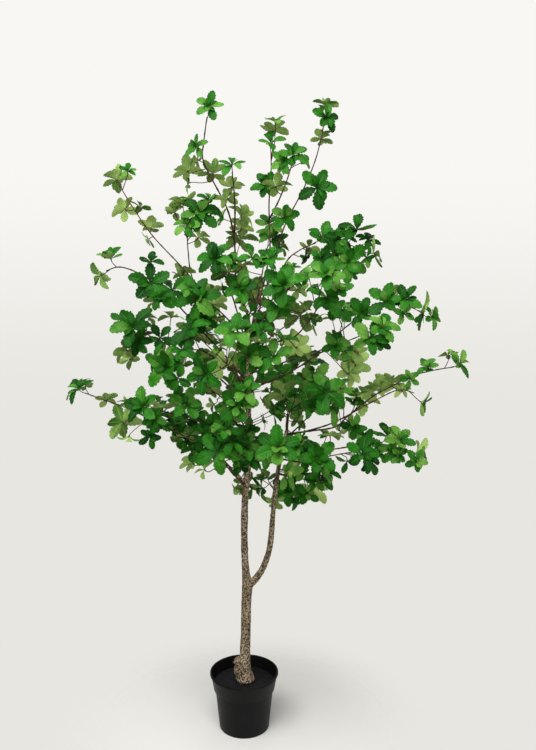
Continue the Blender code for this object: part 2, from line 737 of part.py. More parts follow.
def planSprays(woodTrees):
    # Settles every stem and then the whorls of every spray
    stems, stemTrees = planStems(woodTrees)
    whorls = {name: [] for name in sprays}
    whorlTrees = []
    for name in sprays:
        others = [tree for other, tree in stemTrees.items() if other != name] + woodTrees
        for index in range(len(sprays[name]["whorls"])):
            fixed = others + whorlTrees
            whorl, trees = planWhorl(name, index, stems[name], fixed + [stemTrees[name]], fixed)
            if whorl is None:
                print("no room for whorl", index + 1, "of", name)
                continue
            whorls[name].append(whorl)
            whorlTrees += trees
    return stems, whorls


def makeSpray(name, points, whorls, parts, material):
    wood = tubeObject(name, points, stemRadii(name, points), 0, parts)
    extras = []
    for k, (centre, axis, leaves, twig) in enumerate(whorls):
        verts, faces = whorlShell(centre, axis, leaves, bladeThickness, twig=twig[:2])
        extras.append(meshObject(f"{name}_whorl_{k + 1}", verts, faces, parts))
    joinAll(wood, extras, name)
    wood.data.materials.clear()
    wood.data.materials.append(material)
    return wood


def main():
    clearScene()
    parts = newCollection("potted_enkianthus")
    cutters = newCollection("cutters")
    plastic = newMaterial("pot_plastic", (0.016, 0.017, 0.018), 0.42)
    filling = newMaterial("fill_grit", (0.022, 0.022, 0.026), 0.9)
    bark = newMaterial("bark", (0.20, 0.15, 0.11), 0.8)
    leafy = newMaterial("leaf_green", (0.05, 0.19, 0.035), 0.5)

    base = viewPoint(245.2, 676, 0.0)
    pegCentre = Vector((base.x, base.y, 0))
    makePot(parts, cutters, plastic)
    makeFill(parts, cutters, filling, pegCentre)
    tubes = woodTubes(pegCentre, parts)
    stems, whorls = planSprays([surfaceTree(tube) for tube in tubes])
    joinAll(tubes[0], tubes[1:], "trunk")
    tubes[0].data.materials.append(bark)
    for name in sprays:
        makeSpray(name, stems[name], whorls[name], parts, leafy)


main()
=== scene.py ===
import math
import random

import bmesh
import bpy
from mathutils import Matrix, Vector, noise
from mathutils.bvhtree import BVHTree


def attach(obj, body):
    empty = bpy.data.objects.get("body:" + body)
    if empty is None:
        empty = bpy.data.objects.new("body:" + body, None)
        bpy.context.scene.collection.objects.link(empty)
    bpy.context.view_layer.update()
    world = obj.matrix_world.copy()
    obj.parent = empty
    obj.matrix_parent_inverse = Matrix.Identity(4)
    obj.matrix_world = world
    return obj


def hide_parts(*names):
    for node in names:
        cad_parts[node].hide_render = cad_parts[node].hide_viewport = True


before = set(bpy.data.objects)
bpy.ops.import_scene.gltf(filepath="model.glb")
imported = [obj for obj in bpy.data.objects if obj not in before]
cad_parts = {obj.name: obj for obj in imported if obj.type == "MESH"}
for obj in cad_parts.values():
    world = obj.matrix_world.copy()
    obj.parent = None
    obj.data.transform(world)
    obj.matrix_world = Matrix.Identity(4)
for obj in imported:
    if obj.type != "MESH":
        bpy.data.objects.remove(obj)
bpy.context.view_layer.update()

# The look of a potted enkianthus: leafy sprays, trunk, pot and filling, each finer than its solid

# The view that the tree is laid out in, which is also the camera's: pixels and metres
view = dict(width=536, height=750, focal=801.0, tilt=math.radians(8.54), eye=Vector((0.070, -2.200, 1.380)))
viewForward = Vector((0, math.cos(view["tilt"]), -math.sin(view["tilt"])))
viewUp = Vector((0, math.sin(view["tilt"]), math.cos(view["tilt"])))

# Sizes of the solids that the looks keep to
potSize = dict(height=0.170, rim=0.100, lipDrop=0.007, lipReach=0.003, collarDrop=0.052, collarTaper=0.008,
               collarStep=0.0046, foot=0.0728, footRing=0.004, footLand=0.007, stand=0.030, wall=0.0018,
               floor=0.003, drain=0.005, drainCircle=0.045, drainCount=6)
potShoulder = potSize["height"] - potSize["collarDrop"]
fillSize = dict(drop=0.034, swell=0.0018, gap=0.0003)
fillTop = potSize["height"] - fillSize["drop"]
woodSize = dict(trunk=0.0145, main=0.0110, mainTop=0.0085, side=0.0098, sideTop=0.0072, peg=0.0130,
                pegDepth=0.085, pegRise=0.012, flare=0.0285, stub=0.0145, limb=0.0072)
spraySize = dict(stem=0.0026, leader=0.0034, tip=0.0014, twig=0.0012, bend=0.010, bud=0.0022,
                 clearance=0.0012, widest=0.60, bluntEnd=0.95, tipWidth=0.20, droop=0.10, neck=0.0050,
                 reach=0.50, room=1.03)

# The trunk's foot: its middle in the picture, and its flare as height above the filling and share
# of the flare's radius
footSpot = (245.2, 676)
flareRun = [(0.0, 0.80), (0.009, 1.0), (0.021, 0.84), (0.034, 0.62)]

# Each wood run: picture x, picture y, depth towards the back in cm, share of its radius
mainRun = [
    (245, 655, 0.0, 1.10), (245.8, 630, 0.0, 1.0), (246.3, 604, 0.2, 1.0), (247.2, 586, 0.2, 1.08),
    (245.9, 572, 0.1, 1.02), (244.6, 552, 0.0, 0.98), (244.4, 520, -0.3, 1.0), (245.4, 494, -0.4, 1.0),
    (247.5, 470, -0.2, 1.04), (248, 440, 0.3, 0.98), (248.5, 412, 0.4, 0.92), (248, 385, 0.1, 0.90),
    (246, 363, -0.4, 0.90), (248.5, 342, -0.3, 0.94), (251, 324, 0.0, 1.06),
]
forkRow = 4
sideRun = [
    (247.5, 588, 0.2, 0.80), (255, 579.5, 0.3, 1.08), (262.2, 569.5, 0.3, 1.02), (267.6, 556, 0.1, 0.98),
    (270.8, 540, -0.2, 0.98), (272.9, 515, -0.5, 0.94), (275.6, 488, -0.6, 0.92), (280, 460, -0.4, 0.86),
    (287, 430, 0.0, 0.78),
]
limbRun = [(247, 488, -0.3, 1.0), (240, 479, -0.5, 0.95), (231, 468, -0.6, 0.80)]
stubRun = [
    (242.3, 677, -0.2, 1.0), (238.7, 670.5, -0.6, 1.0), (239.8, 662.8, -0.9, 1.0), (237.2, 659.2, -1.1, 1.10),
]

# Each spray: its stem, as picture x, picture y and depth in cm, and its whorls, as picture x,
# picture y, width in pixels and the way each faces: f the front, s up and sideways, u up, with
# its underside to the front, and b the back. The first whorls are those of the solid.
sprays = {
    "leader_left": dict(
        stem=[(249.3, 328, 0.1), (248.4, 318, 0.2), (243, 303, 1), (236, 282, 2), (235, 250, 2),
        (232, 226, 1), (226, 206, 0), (213, 181, -1), (203, 160, -2), (204, 140, -3), (207, 117, -3)],
        whorls=[(209, 107, 30, "f"), (188, 171, 32, "u"), (213, 174, 30, "u"), (197, 147, 26, "s"),
        (198, 160, 16, "s"), (189, 183, 20, "s")]),
    "leader_right": dict(
        stem=[(252.7, 328, -0.1), (253.6, 318, -0.3), (257, 305, -1), (262, 290, -1), (267, 268, 0),
        (270, 248, 0), (269, 205, 1), (271, 175, 1), (271, 152, 1)],
        whorls=[(273, 131, 30, "u"), (265, 186, 30, "f"), (277, 166, 24, "s"), (271, 143, 28, "f"),
        (268, 262, 22, "s"), (275, 122, 22, "s")]),
    "spray_top_front": dict(
        stem=[(268, 222, 0.5), (279, 200, -6), (287, 180, -10), (292, 164, -12)],
        whorls=[(293, 155, 34, "f"), (276, 187, 30, "u"), (285, 217, 28, "f"), (283, 162, 26, "f"),
        (303, 161, 20, "s")]),
    "spray_top_left": dict(
        stem=[(234, 240, 1.7), (235, 215, -4), (234, 190, -8), (232, 172, -10)],
        whorls=[(232, 165, 30, "s"), (241, 216, 34, "u"), (232, 187, 28, "u"), (223, 219, 22, "s"),
        (241, 229, 26, "u"), (228, 199, 24, "u")]),
    "spray_top_right": dict(
        stem=[(252, 333, 0), (264, 295, 4), (275, 258, 7), (285, 225, 8), (303, 190, 7), (314, 164, 6),
        (320, 143, 5), (325, 118, 4)],
        whorls=[(326, 106, 30, "u"), (317, 188, 38, "f"), (322, 139, 24, "u"), (326, 118, 28, "s")]),
    "spray_high_left": dict(
        stem=[(247, 375, 0), (240, 345, 3), (225, 322, 5), (200, 288, 8), (178, 263, 9), (152, 235, 9),
        (130, 203, 8), (119, 184, 7)],
        whorls=[(117, 180, 32, "u"), (151, 228, 26, "u"), (140, 208, 24, "s"), (125, 209, 26, "u"),
        (184, 273, 24, "u"), (128, 171, 18, "f"), (149, 239, 18, "s")]),
    "spray_high_inner": dict(
        stem=[(247, 368, 0), (229, 335, 9), (206, 302, 14), (192, 277, 14), (188, 250, 11), (187, 230, 8)],
        whorls=[(200, 213, 42, "f"), (183, 204, 34, "u"), (198, 238, 30, "u"), (175, 213, 22, "u"),
        (187, 225, 28, "f"), (209, 200, 24, "f")]),
    "spray_upper_front": dict(
        stem=[(247.5, 352, -0.4), (240, 322, -10), (232, 295, -17), (225, 274, -20)],
        whorls=[(215, 260, 40, "f"), (239, 287, 34, "f"), (233, 262, 26, "f"), (252, 258, 30, "f"),
        (250, 313, 26, "f"), (224, 288, 18, "s")]),
    "spray_upper_mid": dict(
        stem=[(250, 338, 0), (256, 305, 7), (262, 275, 11), (266, 248, 12)],
        whorls=[(272, 238, 34, "f"), (248, 298, 30, "s"), (269, 224, 30, "f"), (241, 266, 24, "u"),
        (262, 320, 18, "f"), (281, 247, 22, "s")]),
    "spray_upper_right": dict(
        stem=[(251, 330, 0), (272, 322, -9), (283, 305, -16), (285, 292, -19)],
        whorls=[(284, 286, 44, "f"), (278, 306, 34, "f"), (272, 258, 32, "f"), (262, 282, 24, "s"),
        (312, 322, 26, "s"), (304, 310, 22, "u"), (292, 268, 18, "f")]),
    "spray_shoulder": dict(
        stem=[(248.8, 346, -0.3), (260, 326, -2), (271, 303, -4), (285, 264, -7), (300, 250, -9),
        (316, 243, -10)],
        whorls=[(322, 237, 32, "f"), (309, 248, 24, "u"), (321, 259, 26, "f"), (304, 258, 14, "s")]),
    "spray_shoulder_back": dict(
        stem=[(251, 350, 0), (272, 318, 8), (297, 276, 15), (320, 259, 17), (343, 245, 15), (360, 249, 13)],
        whorls=[(373, 253, 34, "s"), (334, 243, 36, "f"), (357, 230, 38, "f"), (333, 262, 30, "f"),
        (348, 262, 42, "f"), (368, 240, 26, "f"), (352, 273, 16, "f"), (346, 237, 24, "f"),
        (366, 257, 20, "s")]),
    "spray_right_bright": dict(
        stem=[(250, 356, 0), (274, 343, -9), (294, 337, -15), (308, 322, -18), (322, 302, -20)],
        whorls=[(327, 297, 42, "f"), (325, 275, 38, "f"), (309, 275, 26, "f"), (297, 347, 30, "u"),
        (339, 289, 28, "f"), (318, 287, 24, "f")]),
    "spray_right_high": dict(
        stem=[(249, 374, 0), (285, 362, 8), (321, 350, 14), (340, 332, 16), (362, 316, 16), (388, 306, 14),
        (411, 305, 12)],
        whorls=[(421, 311, 38, "s"), (386, 302, 40, "f"), (362, 313, 34, "f"), (406, 300, 34, "f"),
        (394, 297, 26, "u"), (431, 317, 26, "f"), (404, 314, 22, "f")]),
    "spray_right_mid": dict(
        stem=[(249, 390, 0), (290, 372, -5), (322, 352, -9), (345, 342, -11), (368, 333, -12)],
        whorls=[(383, 328, 36, "f"), (336, 346, 30, "f"), (370, 338, 36, "f"), (336, 310, 34, "f"),
        (354, 362, 36, "u"), (349, 373, 30, "u"), (345, 351, 22, "f"), (358, 352, 18, "u"),
        (379, 343, 24, "f")]),
    "spray_right_long": dict(
        stem=[(286, 434, 0), (310, 431, 3), (335, 427, 6), (347, 417, 7), (372, 397, 8), (392, 386, 8),
        (412, 376, 7), (435, 370, 6), (454, 367, 5)],
        whorls=[(459, 364, 36, "s"), (392, 384, 36, "u"), (428, 368, 24, "s"), (362, 400, 36, "u"),
        (380, 390, 30, "u"), (410, 379, 20, "s"), (350, 425, 28, "s"), (340, 431, 18, "s"),
        (372, 392, 28, "u"), (402, 390, 18, "u"), (448, 356, 20, "s")]),
    "spray_right_drop": dict(
        stem=[(286, 436, 0), (330, 424, -6), (372, 402, -9), (398, 390, -10), (414, 393, -10)],
        whorls=[(421, 402, 28, "s"), (354, 427, 26, "f"), (340, 388, 26, "f"), (364, 436, 18, "f")]),
    "spray_right_low": dict(
        stem=[(284, 446, -0.2), (303, 451, 5), (327, 450, 8), (355, 446, 9), (380, 444, 9), (400, 448, 8),
        (412, 452, 7)],
        whorls=[(416, 453, 34, "s"), (366, 443, 30, "f"), (400, 440, 34, "f"), (392, 451, 26, "f"),
        (387, 436, 30, "f"), (379, 452, 18, "f"), (399, 456, 18, "f"), (416, 461, 24, "f")]),
    "spray_right_under": dict(
        stem=[(281, 459, -0.4), (305, 462, -9), (330, 456, -14), (352, 452, -15)],
        whorls=[(362, 454, 36, "f"), (317, 458, 40, "f"), (347, 461, 24, "s"), (330, 436, 26, "u"),
        (304, 452, 28, "f"), (372, 462, 24, "f")]),
    "spray_right_base": dict(
        stem=[(278, 474, -0.5), (296, 478, 6), (310, 480, 10)],
        whorls=[(320, 480, 34, "f"), (313, 490, 36, "u"), (303, 474, 26, "f"), (318, 466, 28, "f"),
        (329, 474, 26, "f"), (307, 493, 26, "f")]),
    "spray_side_top": dict(
        stem=[(287, 431, 0), (290, 412, -6), (304, 402, -13), (320, 398, -17)],
        whorls=[(325, 392, 44, "f"), (330, 407, 40, "f"), (283, 395, 40, "b"), (312, 407, 26, "f"),
        (297, 421, 20, "s"), (301, 437, 14, "s")]),
    "spray_side_up": dict(
        stem=[(286, 435, 0), (288, 412, 7), (298, 392, 12), (306, 377, 14)],
        whorls=[(313, 378, 36, "f"), (308, 362, 44, "f"), (284, 376, 38, "f"), (286, 401, 34, "f"),
        (301, 403, 24, "f"), (270, 393, 26, "f")]),
    "spray_side_front": dict(
        stem=[(277, 478, -0.5), (279, 468, -11), (280, 458, -19), (279, 453, -22)],
        whorls=[(278, 448, 44, "f"), (286, 474, 34, "f"), (262, 488, 30, "s"), (293, 446, 26, "f"),
        (268, 455, 26, "f")]),
    "spray_side_under": dict(
        stem=[(275, 492, -0.6), (279, 492, 7), (284, 492, 13)],
        whorls=[(286, 492, 34, "f"), (268, 478, 26, "b"), (293, 498, 24, "f"), (275, 501, 20, "s"),
        (262, 478, 20, "s")]),
    "spray_main_bright": dict(
        stem=[(249, 402, 0.4), (256, 380, -11), (266, 366, -19), (272, 361, -22)],
        whorls=[(274, 357, 38, "f"), (256, 343, 36, "u"), (247, 357, 36, "f"), (284, 341, 34, "s"),
        (262, 366, 26, "f"), (262, 331, 26, "f")]),
    "spray_main_pale": dict(
        stem=[(248, 396, 0.2), (238, 378, -12), (229, 367, -20), (225, 362, -24)],
        whorls=[(220, 367, 34, "u"), (233, 332, 40, "f"), (205, 375, 38, "f"), (228, 345, 30, "u"),
        (216, 350, 18, "s"), (245, 330, 24, "f")]),
    "spray_main_left": dict(
        stem=[(248, 386, 0), (226, 366, -8), (200, 350, -14), (178, 355, -17)],
        whorls=[(167, 367, 46, "f"), (190, 330, 46, "f"), (210, 356, 18, "u"), (182, 350, 30, "f"),
        (158, 361, 30, "f"), (178, 378, 28, "f"), (186, 342, 28, "f")]),
    "spray_mid_left": dict(
        stem=[(248, 407, 0.4), (226, 384, 6), (198, 362, 10), (170, 346, 11), (150, 336, 9), (138, 330, 7)],
        whorls=[(133, 327, 48, "f"), (127, 350, 32, "u"), (160, 338, 30, "f"), (171, 318, 26, "u"),
        (165, 352, 20, "u"), (139, 342, 30, "f"), (122, 320, 26, "f"), (130, 359, 24, "u"),
        (149, 318, 22, "u")]),
    "spray_far_left": dict(
        stem=[(247, 380, 0), (216, 346, -5), (188, 316, -8), (163, 290, -9), (140, 274, -9), (120, 267, -8),
        (106, 271, -7)],
        whorls=[(101, 275, 32, "s"), (150, 283, 42, "f"), (111, 259, 30, "s"), (172, 290, 42, "f"),
        (154, 302, 20, "u"), (151, 262, 24, "f"), (161, 297, 26, "f"), (180, 278, 24, "s")]),
    "spray_upper_left": dict(
        stem=[(249, 348, -0.2), (233, 325, -6), (216, 308, -11), (204, 300, -13)],
        whorls=[(198, 299, 44, "f"), (214, 304, 30, "u"), (205, 318, 28, "f"), (190, 288, 26, "f"),
        (214, 318, 24, "s")]),
    "spray_low_tip": dict(
        stem=[(231.5, 468.5, -0.6), (214, 452, 1), (190, 439, 3), (160, 424, 4), (127, 408, 4),
        (107, 401, 3), (85, 393, 2)],
        whorls=[(79, 389, 32, "s"), (123, 422, 38, "u"), (107, 400, 24, "u"), (150, 437, 24, "f"),
        (156, 423, 22, "f"), (129, 437, 22, "s"), (86, 386, 16, "s")]),
    "spray_low_left": dict(
        stem=[(247, 447, 0.3), (225, 432, -7), (198, 420, -12), (170, 413, -14), (152, 410, -14)],
        whorls=[(143, 407, 40, "f"), (163, 408, 40, "u"), (187, 405, 38, "f"), (212, 425, 24, "f"),
        (128, 404, 22, "u"), (178, 399, 26, "f"), (197, 413, 26, "f"), (154, 419, 26, "f")]),
    "spray_low_back": dict(
        stem=[(247, 458, 0), (222, 446, 10), (198, 436, 17), (182, 430, 20)],
        whorls=[(178, 427, 34, "f"), (190, 440, 28, "f"), (197, 422, 26, "s"), (206, 436, 28, "f"),
        (214, 447, 26, "f"), (190, 428, 24, "f")]),
    "spray_low_front": dict(
        stem=[(245, 484, -0.4), (233, 474, -12), (224, 462, -19), (220, 456, -21)],
        whorls=[(218, 452, 46, "f"), (233, 441, 32, "f"), (205, 470, 24, "u"), (246, 446, 32, "f"),
        (253, 459, 28, "f"), (241, 467, 24, "f"), (226, 430, 28, "f")]),
    "spray_low_side": dict(
        stem=[(233, 470.5, -0.6), (219, 463, -4), (206, 460, -6)],
        whorls=[(193, 463, 30, "u"), (196, 450, 28, "f"), (203, 455, 24, "f")]),
    "spray_low_mid": dict(
        stem=[(246.5, 478, -0.3), (246, 467, 8), (246, 457, 13)],
        whorls=[(246, 450, 40, "f"), (246, 484, 30, "s"), (256, 440, 26, "f"), (240, 490, 20, "s"),
        (252, 488, 18, "s")]),
    "spray_mid_front": dict(
        stem=[(248, 442, 0.3), (243, 424, -11), (236, 412, -20), (234, 408, -23)],
        whorls=[(237, 405, 40, "f"), (225, 421, 32, "f"), (244, 392, 34, "f"), (270, 408, 34, "u"),
        (249, 430, 24, "f"), (226, 398, 18, "s"), (273, 414, 24, "s"), (262, 421, 16, "s")]),
    "spray_mid_back": dict(
        stem=[(248, 427, 0.4), (234, 408, 10), (220, 396, 17), (211, 391, 19)],
        whorls=[(207, 392, 36, "u"), (230, 385, 34, "b"), (200, 380, 24, "s"), (214, 404, 16, "s")]),
    "spray_back_high": dict(
        stem=[(250, 343, 0), (249, 318, 12), (240, 295, 21), (232, 280, 26)],
        whorls=[(228, 272, 40, "b"), (252, 300, 38, "b"), (240, 240, 34, "b")]),
    "spray_back_right": dict(
        stem=[(249.5, 362, 0), (262, 345, 12), (280, 330, 23), (292, 322, 29)],
        whorls=[(300, 316, 42, "b"), (272, 322, 38, "b"), (290, 346, 36, "b")]),
    "spray_back_left": dict(
        stem=[(248, 382, 0), (232, 366, 12), (212, 350, 22), (202, 340, 28)],
        whorls=[(196, 334, 42, "b"), (210, 362, 34, "b"), (236, 368, 34, "b")]),
    "spray_back_mid": dict(
        stem=[(249, 412, 0.4), (254, 398, 13), (251, 384, 25), (248, 374, 33)],
        whorls=[(246, 364, 40, "b"), (238, 390, 36, "b"), (276, 384, 36, "b")]),
    "spray_back_low": dict(
        stem=[(248, 436, 0.4), (240, 437, 12), (229, 437, 21), (222, 436, 26)],
        whorls=[(214, 436, 40, "b"), (238, 446, 36, "b"), (230, 424, 30, "b")]),
    "spray_back_side": dict(
        stem=[(286, 438, 0), (297, 428, 11), (312, 413, 20), (320, 404, 25)],
        whorls=[(327, 398, 42, "b"), (308, 404, 36, "b"), (302, 452, 34, "b")]),
}
longSprays = {"leader_left", "leader_right", "spray_right_long"}


def solidWhorls(name):
    # The whorls that the solid of a spray has: two, and three on the long ones
    return range(3 if name in longSprays else 2)


sturdyStems = {"leader_left", "leader_right"}

# For each way that a whorl faces: how its axis leans, towards the picture's right, the back and up,
# how much it follows its twig on top of that, how far back it sits, and its tone. The tone paints light
# and shade: undersides turned up to the light are painted paler, as if lit through, and what faces the back
# gets painted shade.
facings = dict(
    f=dict(lean=Vector((0.0, -0.80, 0.62)), follow=0.55, back=-0.022, tone=0.0),
    s=dict(lean=Vector((0.0, -0.16, 0.50)), follow=1.30, back=0.0, tone=0.10),
    u=dict(lean=Vector((0.0, 0.42, 0.90)), follow=0.55, back=0.014, tone=0.26),
    b=dict(lean=Vector((0.0, 0.72, 0.62)), follow=0.55, back=0.028, tone=-0.12),
)


def viewRay(px, py):
    right = Vector((1, 0, 0))
    return viewForward * view["focal"] + right * (px - view["width"] / 2) + viewUp * (view["height"] / 2 - py)


def viewPoint(px, py, depth):
    ray = viewRay(px, py)
    return view["eye"] + ray * ((depth - view["eye"].y) / ray.y)


def viewScale(point):
    # Metres that one picture pixel spans at a point
    return (point - view["eye"]).dot(viewForward) / view["focal"]


def runPoints(run):
    return [viewPoint(px, py, cm / 100) for px, py, cm, _ in run]


def runRadii(run, start, end):
    last = len(run) - 1
    return [(start + (end - start) * i / last) * row[3] for i, row in enumerate(run)]


def pickOnly(*shapes):
    bpy.ops.object.select_all(action="DESELECT")
    for shape in shapes:
        shape.select_set(True)
    bpy.context.view_layer.objects.active = shapes[0]


def linked(name, data):
    # A curve, mesh, lamp or camera as an object of the scene
    made = bpy.data.objects.new(name, data)
    bpy.context.scene.collection.objects.link(made)
    return made


def started(name, add, **settings):
    # A shape begun from one of Blender's own, the only one picked
    bpy.ops.object.select_all(action="DESELECT")
    add(**settings)
    shape = bpy.context.object
    shape.name = name
    return shape


def weld(distance):
    # In edit mode: merges points that meet, and turns every face outward
    bpy.ops.mesh.select_all(action="SELECT")
    bpy.ops.mesh.remove_doubles(threshold=distance)
    bpy.ops.mesh.normals_make_consistent(inside=False)


def shiftPoints(test, shift=None, scale=None, about=(0, 0, 0)):
    # In edit mode: picks the points that pass a test, then moves or scales them
    mesh = bmesh.from_edit_mesh(bpy.context.object.data)
    for point in mesh.verts:
        point.select = test(point.co)
    mesh.select_flush_mode()
    if shift:
        bpy.ops.transform.translate(value=shift)
    if scale:
        bpy.ops.transform.resize(value=scale, center_override=about)


def finish(shape, modifiers):
    # Adds modifiers as (kind, settings) and applies each
    pickOnly(shape)
    for kind, settings in modifiers:
        modifier = shape.modifiers.new(kind.lower(), kind)
        for name, setting in settings.items():
            setattr(modifier, name, setting)
        bpy.ops.object.modifier_apply(modifier=modifier.name)


def potWall(z):
    # Outer radius of the pot at a height, below the lip
    if z > potShoulder:
        share = (z - potShoulder) / (potSize["collarDrop"] - potSize["lipDrop"])
        return potSize["rim"] - potSize["lipReach"] - potSize["collarTaper"] * (1 - share)
    share = z / potShoulder
    top = potSize["rim"] - potSize["lipReach"] - potSize["collarTaper"] - potSize["collarStep"]
    return potSize["foot"] + (top - potSize["foot"]) * share


def woodObject(name, runs, resolution, material=None):
    # Closed tubes along runs of points and radii, bevelled as one curve and made a mesh
    curve = bpy.data.curves.new(name, "CURVE")
    curve.dimensions = "3D"
    curve.bevel_depth = 1.0
    curve.bevel_resolution = resolution
    curve.use_fill_caps = True
    for run in runs:
        spline = curve.splines.new("POLY")
        spline.points.add(len(run) - 1)
        for knot, (point, radius) in zip(spline.points, run):
            knot.co = (*point, 1.0)
            knot.radius = radius
    wood = linked(name, curve)
    pickOnly(wood)
    bpy.ops.object.convert(target="MESH")
    bpy.ops.object.mode_set(mode="EDIT")
    weld(0.00001)
    bpy.ops.object.mode_set(mode="OBJECT")
    if material:
        wood.data.materials.clear()
        wood.data.materials.append(material)
        bpy.ops.object.shade_smooth()
    return wood


def trunkRuns(pegCentre, seat):
    # The trunk's pieces before they are joined, as points and radii: the main stem rises from its
    # flare at the filling and forks, with a short limb and a cut stub
    rootPoints = [Vector((pegCentre.x, pegCentre.y, seat + rise)) for rise, _ in flareRun]
    rootRadii = [woodSize["flare"] * share for _, share in flareRun]
    mainRadii = []
    for i, row in enumerate(mainRun):
        share = max(0.0, (i - forkRow + 1) / (len(mainRun) - forkRow))
        slim = woodSize["main"] + (woodSize["mainTop"] - woodSize["main"]) * share
        mainRadii.append((woodSize["trunk"] if i < forkRow else slim) * row[3])
    return [
        (rootPoints + runPoints(mainRun), rootRadii + mainRadii),
        (runPoints(sideRun), runRadii(sideRun, woodSize["side"], woodSize["sideTop"])),
        (runPoints(limbRun), runRadii(limbRun, woodSize["limb"], woodSize["limb"])),
        (runPoints(stubRun), runRadii(stubRun, woodSize["stub"], woodSize["stub"])),
    ]


def woodTrees(pegCentre):
    # The solids' wood as trees to test against, its foot and its peg included
    seat = fillTop + fillSize["swell"] + fillSize["gap"]
    pegPoints = [Vector((pegCentre.x, pegCentre.y, seat + rise))
                 for rise in (woodSize["pegRise"], -woodSize["pegDepth"])]
    runs = trunkRuns(pegCentre, seat) + [(pegPoints, [woodSize["peg"], woodSize["peg"]])]
    trees = []
    for (points, radii), resolution in zip(runs, (2, 2, 1, 1, 2)):
        tube = woodObject("wood", [list(zip(points, radii))], resolution)
        trees.append(meshTree([v.co for v in tube.data.vertices], [p.vertices for p in tube.data.polygons]))
        bpy.data.objects.remove(tube, do_unlink=True)
    return trees


def meshTree(verts, faces):
    return BVHTree.FromPolygons([tuple(v) for v in verts], faces)


def crossFrame(direction):
    # Two directions square to a direction and to each other
    side = direction.cross(Vector((0, 0, 1)))
    if side.length < 0.05:
        side = direction.cross(Vector((1, 0, 0)))
    side.normalize()
    return side, direction.cross(side).normalized()


def swung(side, other, turn):
    # A direction turned from one towards another that is square to it
    return side * math.cos(turn) + other * math.sin(turn)


def tubeTree(points, radii, sides):
    # A plain closed tube, for testing what a stem would touch
    verts = []
    faces = []
    for i, point in enumerate(points):
        before = points[max(i - 1, 0)]
        after = points[min(i + 1, len(points) - 1)]
        side, other = crossFrame((after - before).normalized())
        for k in range(sides):
            verts.append(point + swung(side, other, math.tau * k / sides) * radii[i])
    for i in range(len(points) - 1):
        for k in range(sides):
            j = (k + 1) % sides
            faces.append((i * sides + k, i * sides + j, (i + 1) * sides + j, (i + 1) * sides + k))
    faces.append(tuple(reversed(range(sides))))
    faces.append(tuple(range((len(points) - 1) * sides, len(points) * sides)))
    return meshTree(verts, faces)


def whorlLeaves(radius, rng):
    # A whorl's leaves: turn, length, width and rise of each
    count = rng.choice((5, 5, 5, 6)) if radius > 0.038 else rng.choice((4, 5, 5))
    spin = rng.uniform(0, math.tau)
    leaves = []
    for k in range(count):
        turn = spin + math.tau * (k + rng.uniform(-0.06, 0.06)) / count
        length = radius * rng.uniform(0.90, 1.10)
        widest = 2 * spraySize["widest"] * length * math.tan(0.42 * math.tau / count)
        width = min(length * rng.uniform(0.52, 0.60), widest)
        rise = math.radians(rng.uniform(-8, 30))
        leaves.append((turn, length, width, rise))
    return leaves


def whorlTree(centre, axis, leaves):
    # The room that a whorl's blades take, as one thin plate cut into leaves, for testing
    side, other = crossFrame(axis)
    thickness = spraySize["clearance"] * 2
    grow = spraySize["room"]
    centre = centre + axis * spraySize["clearance"]
    tops = [centre]
    lows = [centre - axis * thickness]
    faces = []
    outline = []
    last = len(leaves) * 5
    for k, (turn, length, width, rise) in enumerate(leaves):
        nextTurn = leaves[(k + 1) % len(leaves)][0] + (math.tau if k == len(leaves) - 1 else 0.0)
        radial = swung(side, other, turn)
        across = swung(other, -side, turn)
        along = swung(radial, axis, rise)
        normal = swung(axis, -radial, rise)
        tip = centre + along * length * spraySize["bluntEnd"] * grow - normal * length * spraySize["droop"]
        belly = centre + along * length * spraySize["widest"] * grow
        tipHalf = spraySize["tipWidth"]
        for point, half in ((belly, -0.5), (tip, -tipHalf), (tip, tipHalf), (belly, 0.5)):
            tops.append(point + across * width * half * grow)
            lows.append(tops[-1] - normal * thickness)
        notch = swung(side, other, (turn + nextTurn) / 2)
        tops.append(centre + notch * spraySize["neck"])
        lows.append(centre + notch * spraySize["neck"] - axis * thickness)
        first = k * 5 + 1
        size = len(leaves) * 5 + 1
        blade = [(0, last, first + 4), (last, first, first + 3), (last, first + 3, first + 4),
                 (first, first + 1, first + 2), (first, first + 2, first + 3)]
        faces += blade + [tuple(size + i for i in reversed(face)) for face in blade]
        outline += [first, first + 1, first + 2, first + 3, first + 4]
        last = first + 4
    for i, start in enumerate(outline):
        end = outline[(i + 1) % len(outline)]
        faces += [(end, start, size + start), (end, size + start, size + end)]
    return meshTree(tops + lows, faces)


def nearestOnStem(stem, px, py):
    # The place on a stem closest to a picture point, as segment and share of it
    best = None
    for i in range(len(stem) - 1):
        start = Vector(stem[i][:2])
        run = Vector(stem[i + 1][:2]) - start
        reach = Vector((px, py)) - start
        share = max(0.0, min(1.0, reach.dot(run) / max(run.length_squared, 1e-6)))
        away = (reach - run * share).length
        if best is None or away < best[0] - 1e-9:
            best = (away, i, share)
    return best[1], best[2]


def stemPoints(stem, push):
    # World points of a stem. A push bends its middle towards the back, in cm.
    last = len(stem) - 1
    points = []
    for i, (px, py, depth) in enumerate(stem):
        swing = math.sin(math.pi * min(1.0, 1.6 * i / last) / 1.6) if last > 0 else 0.0
        points.append(viewPoint(px, py, (depth + push * swing) / 100))
    return points


def stemRadii(name, points):
    start = spraySize["leader"] if name in sturdyStems else spraySize["stem"]
    last = len(points) - 1
    return [start + (spraySize["tip"] - start) * (i / last) ** 0.8 for i in range(last + 1)]


def isClear(probe, blocker):
    spot, normal, _, away = blocker.find_nearest(probe, 0.06)
    return spot is None or ((probe - spot).dot(normal) >= 0 and away >= fillSize["gap"])


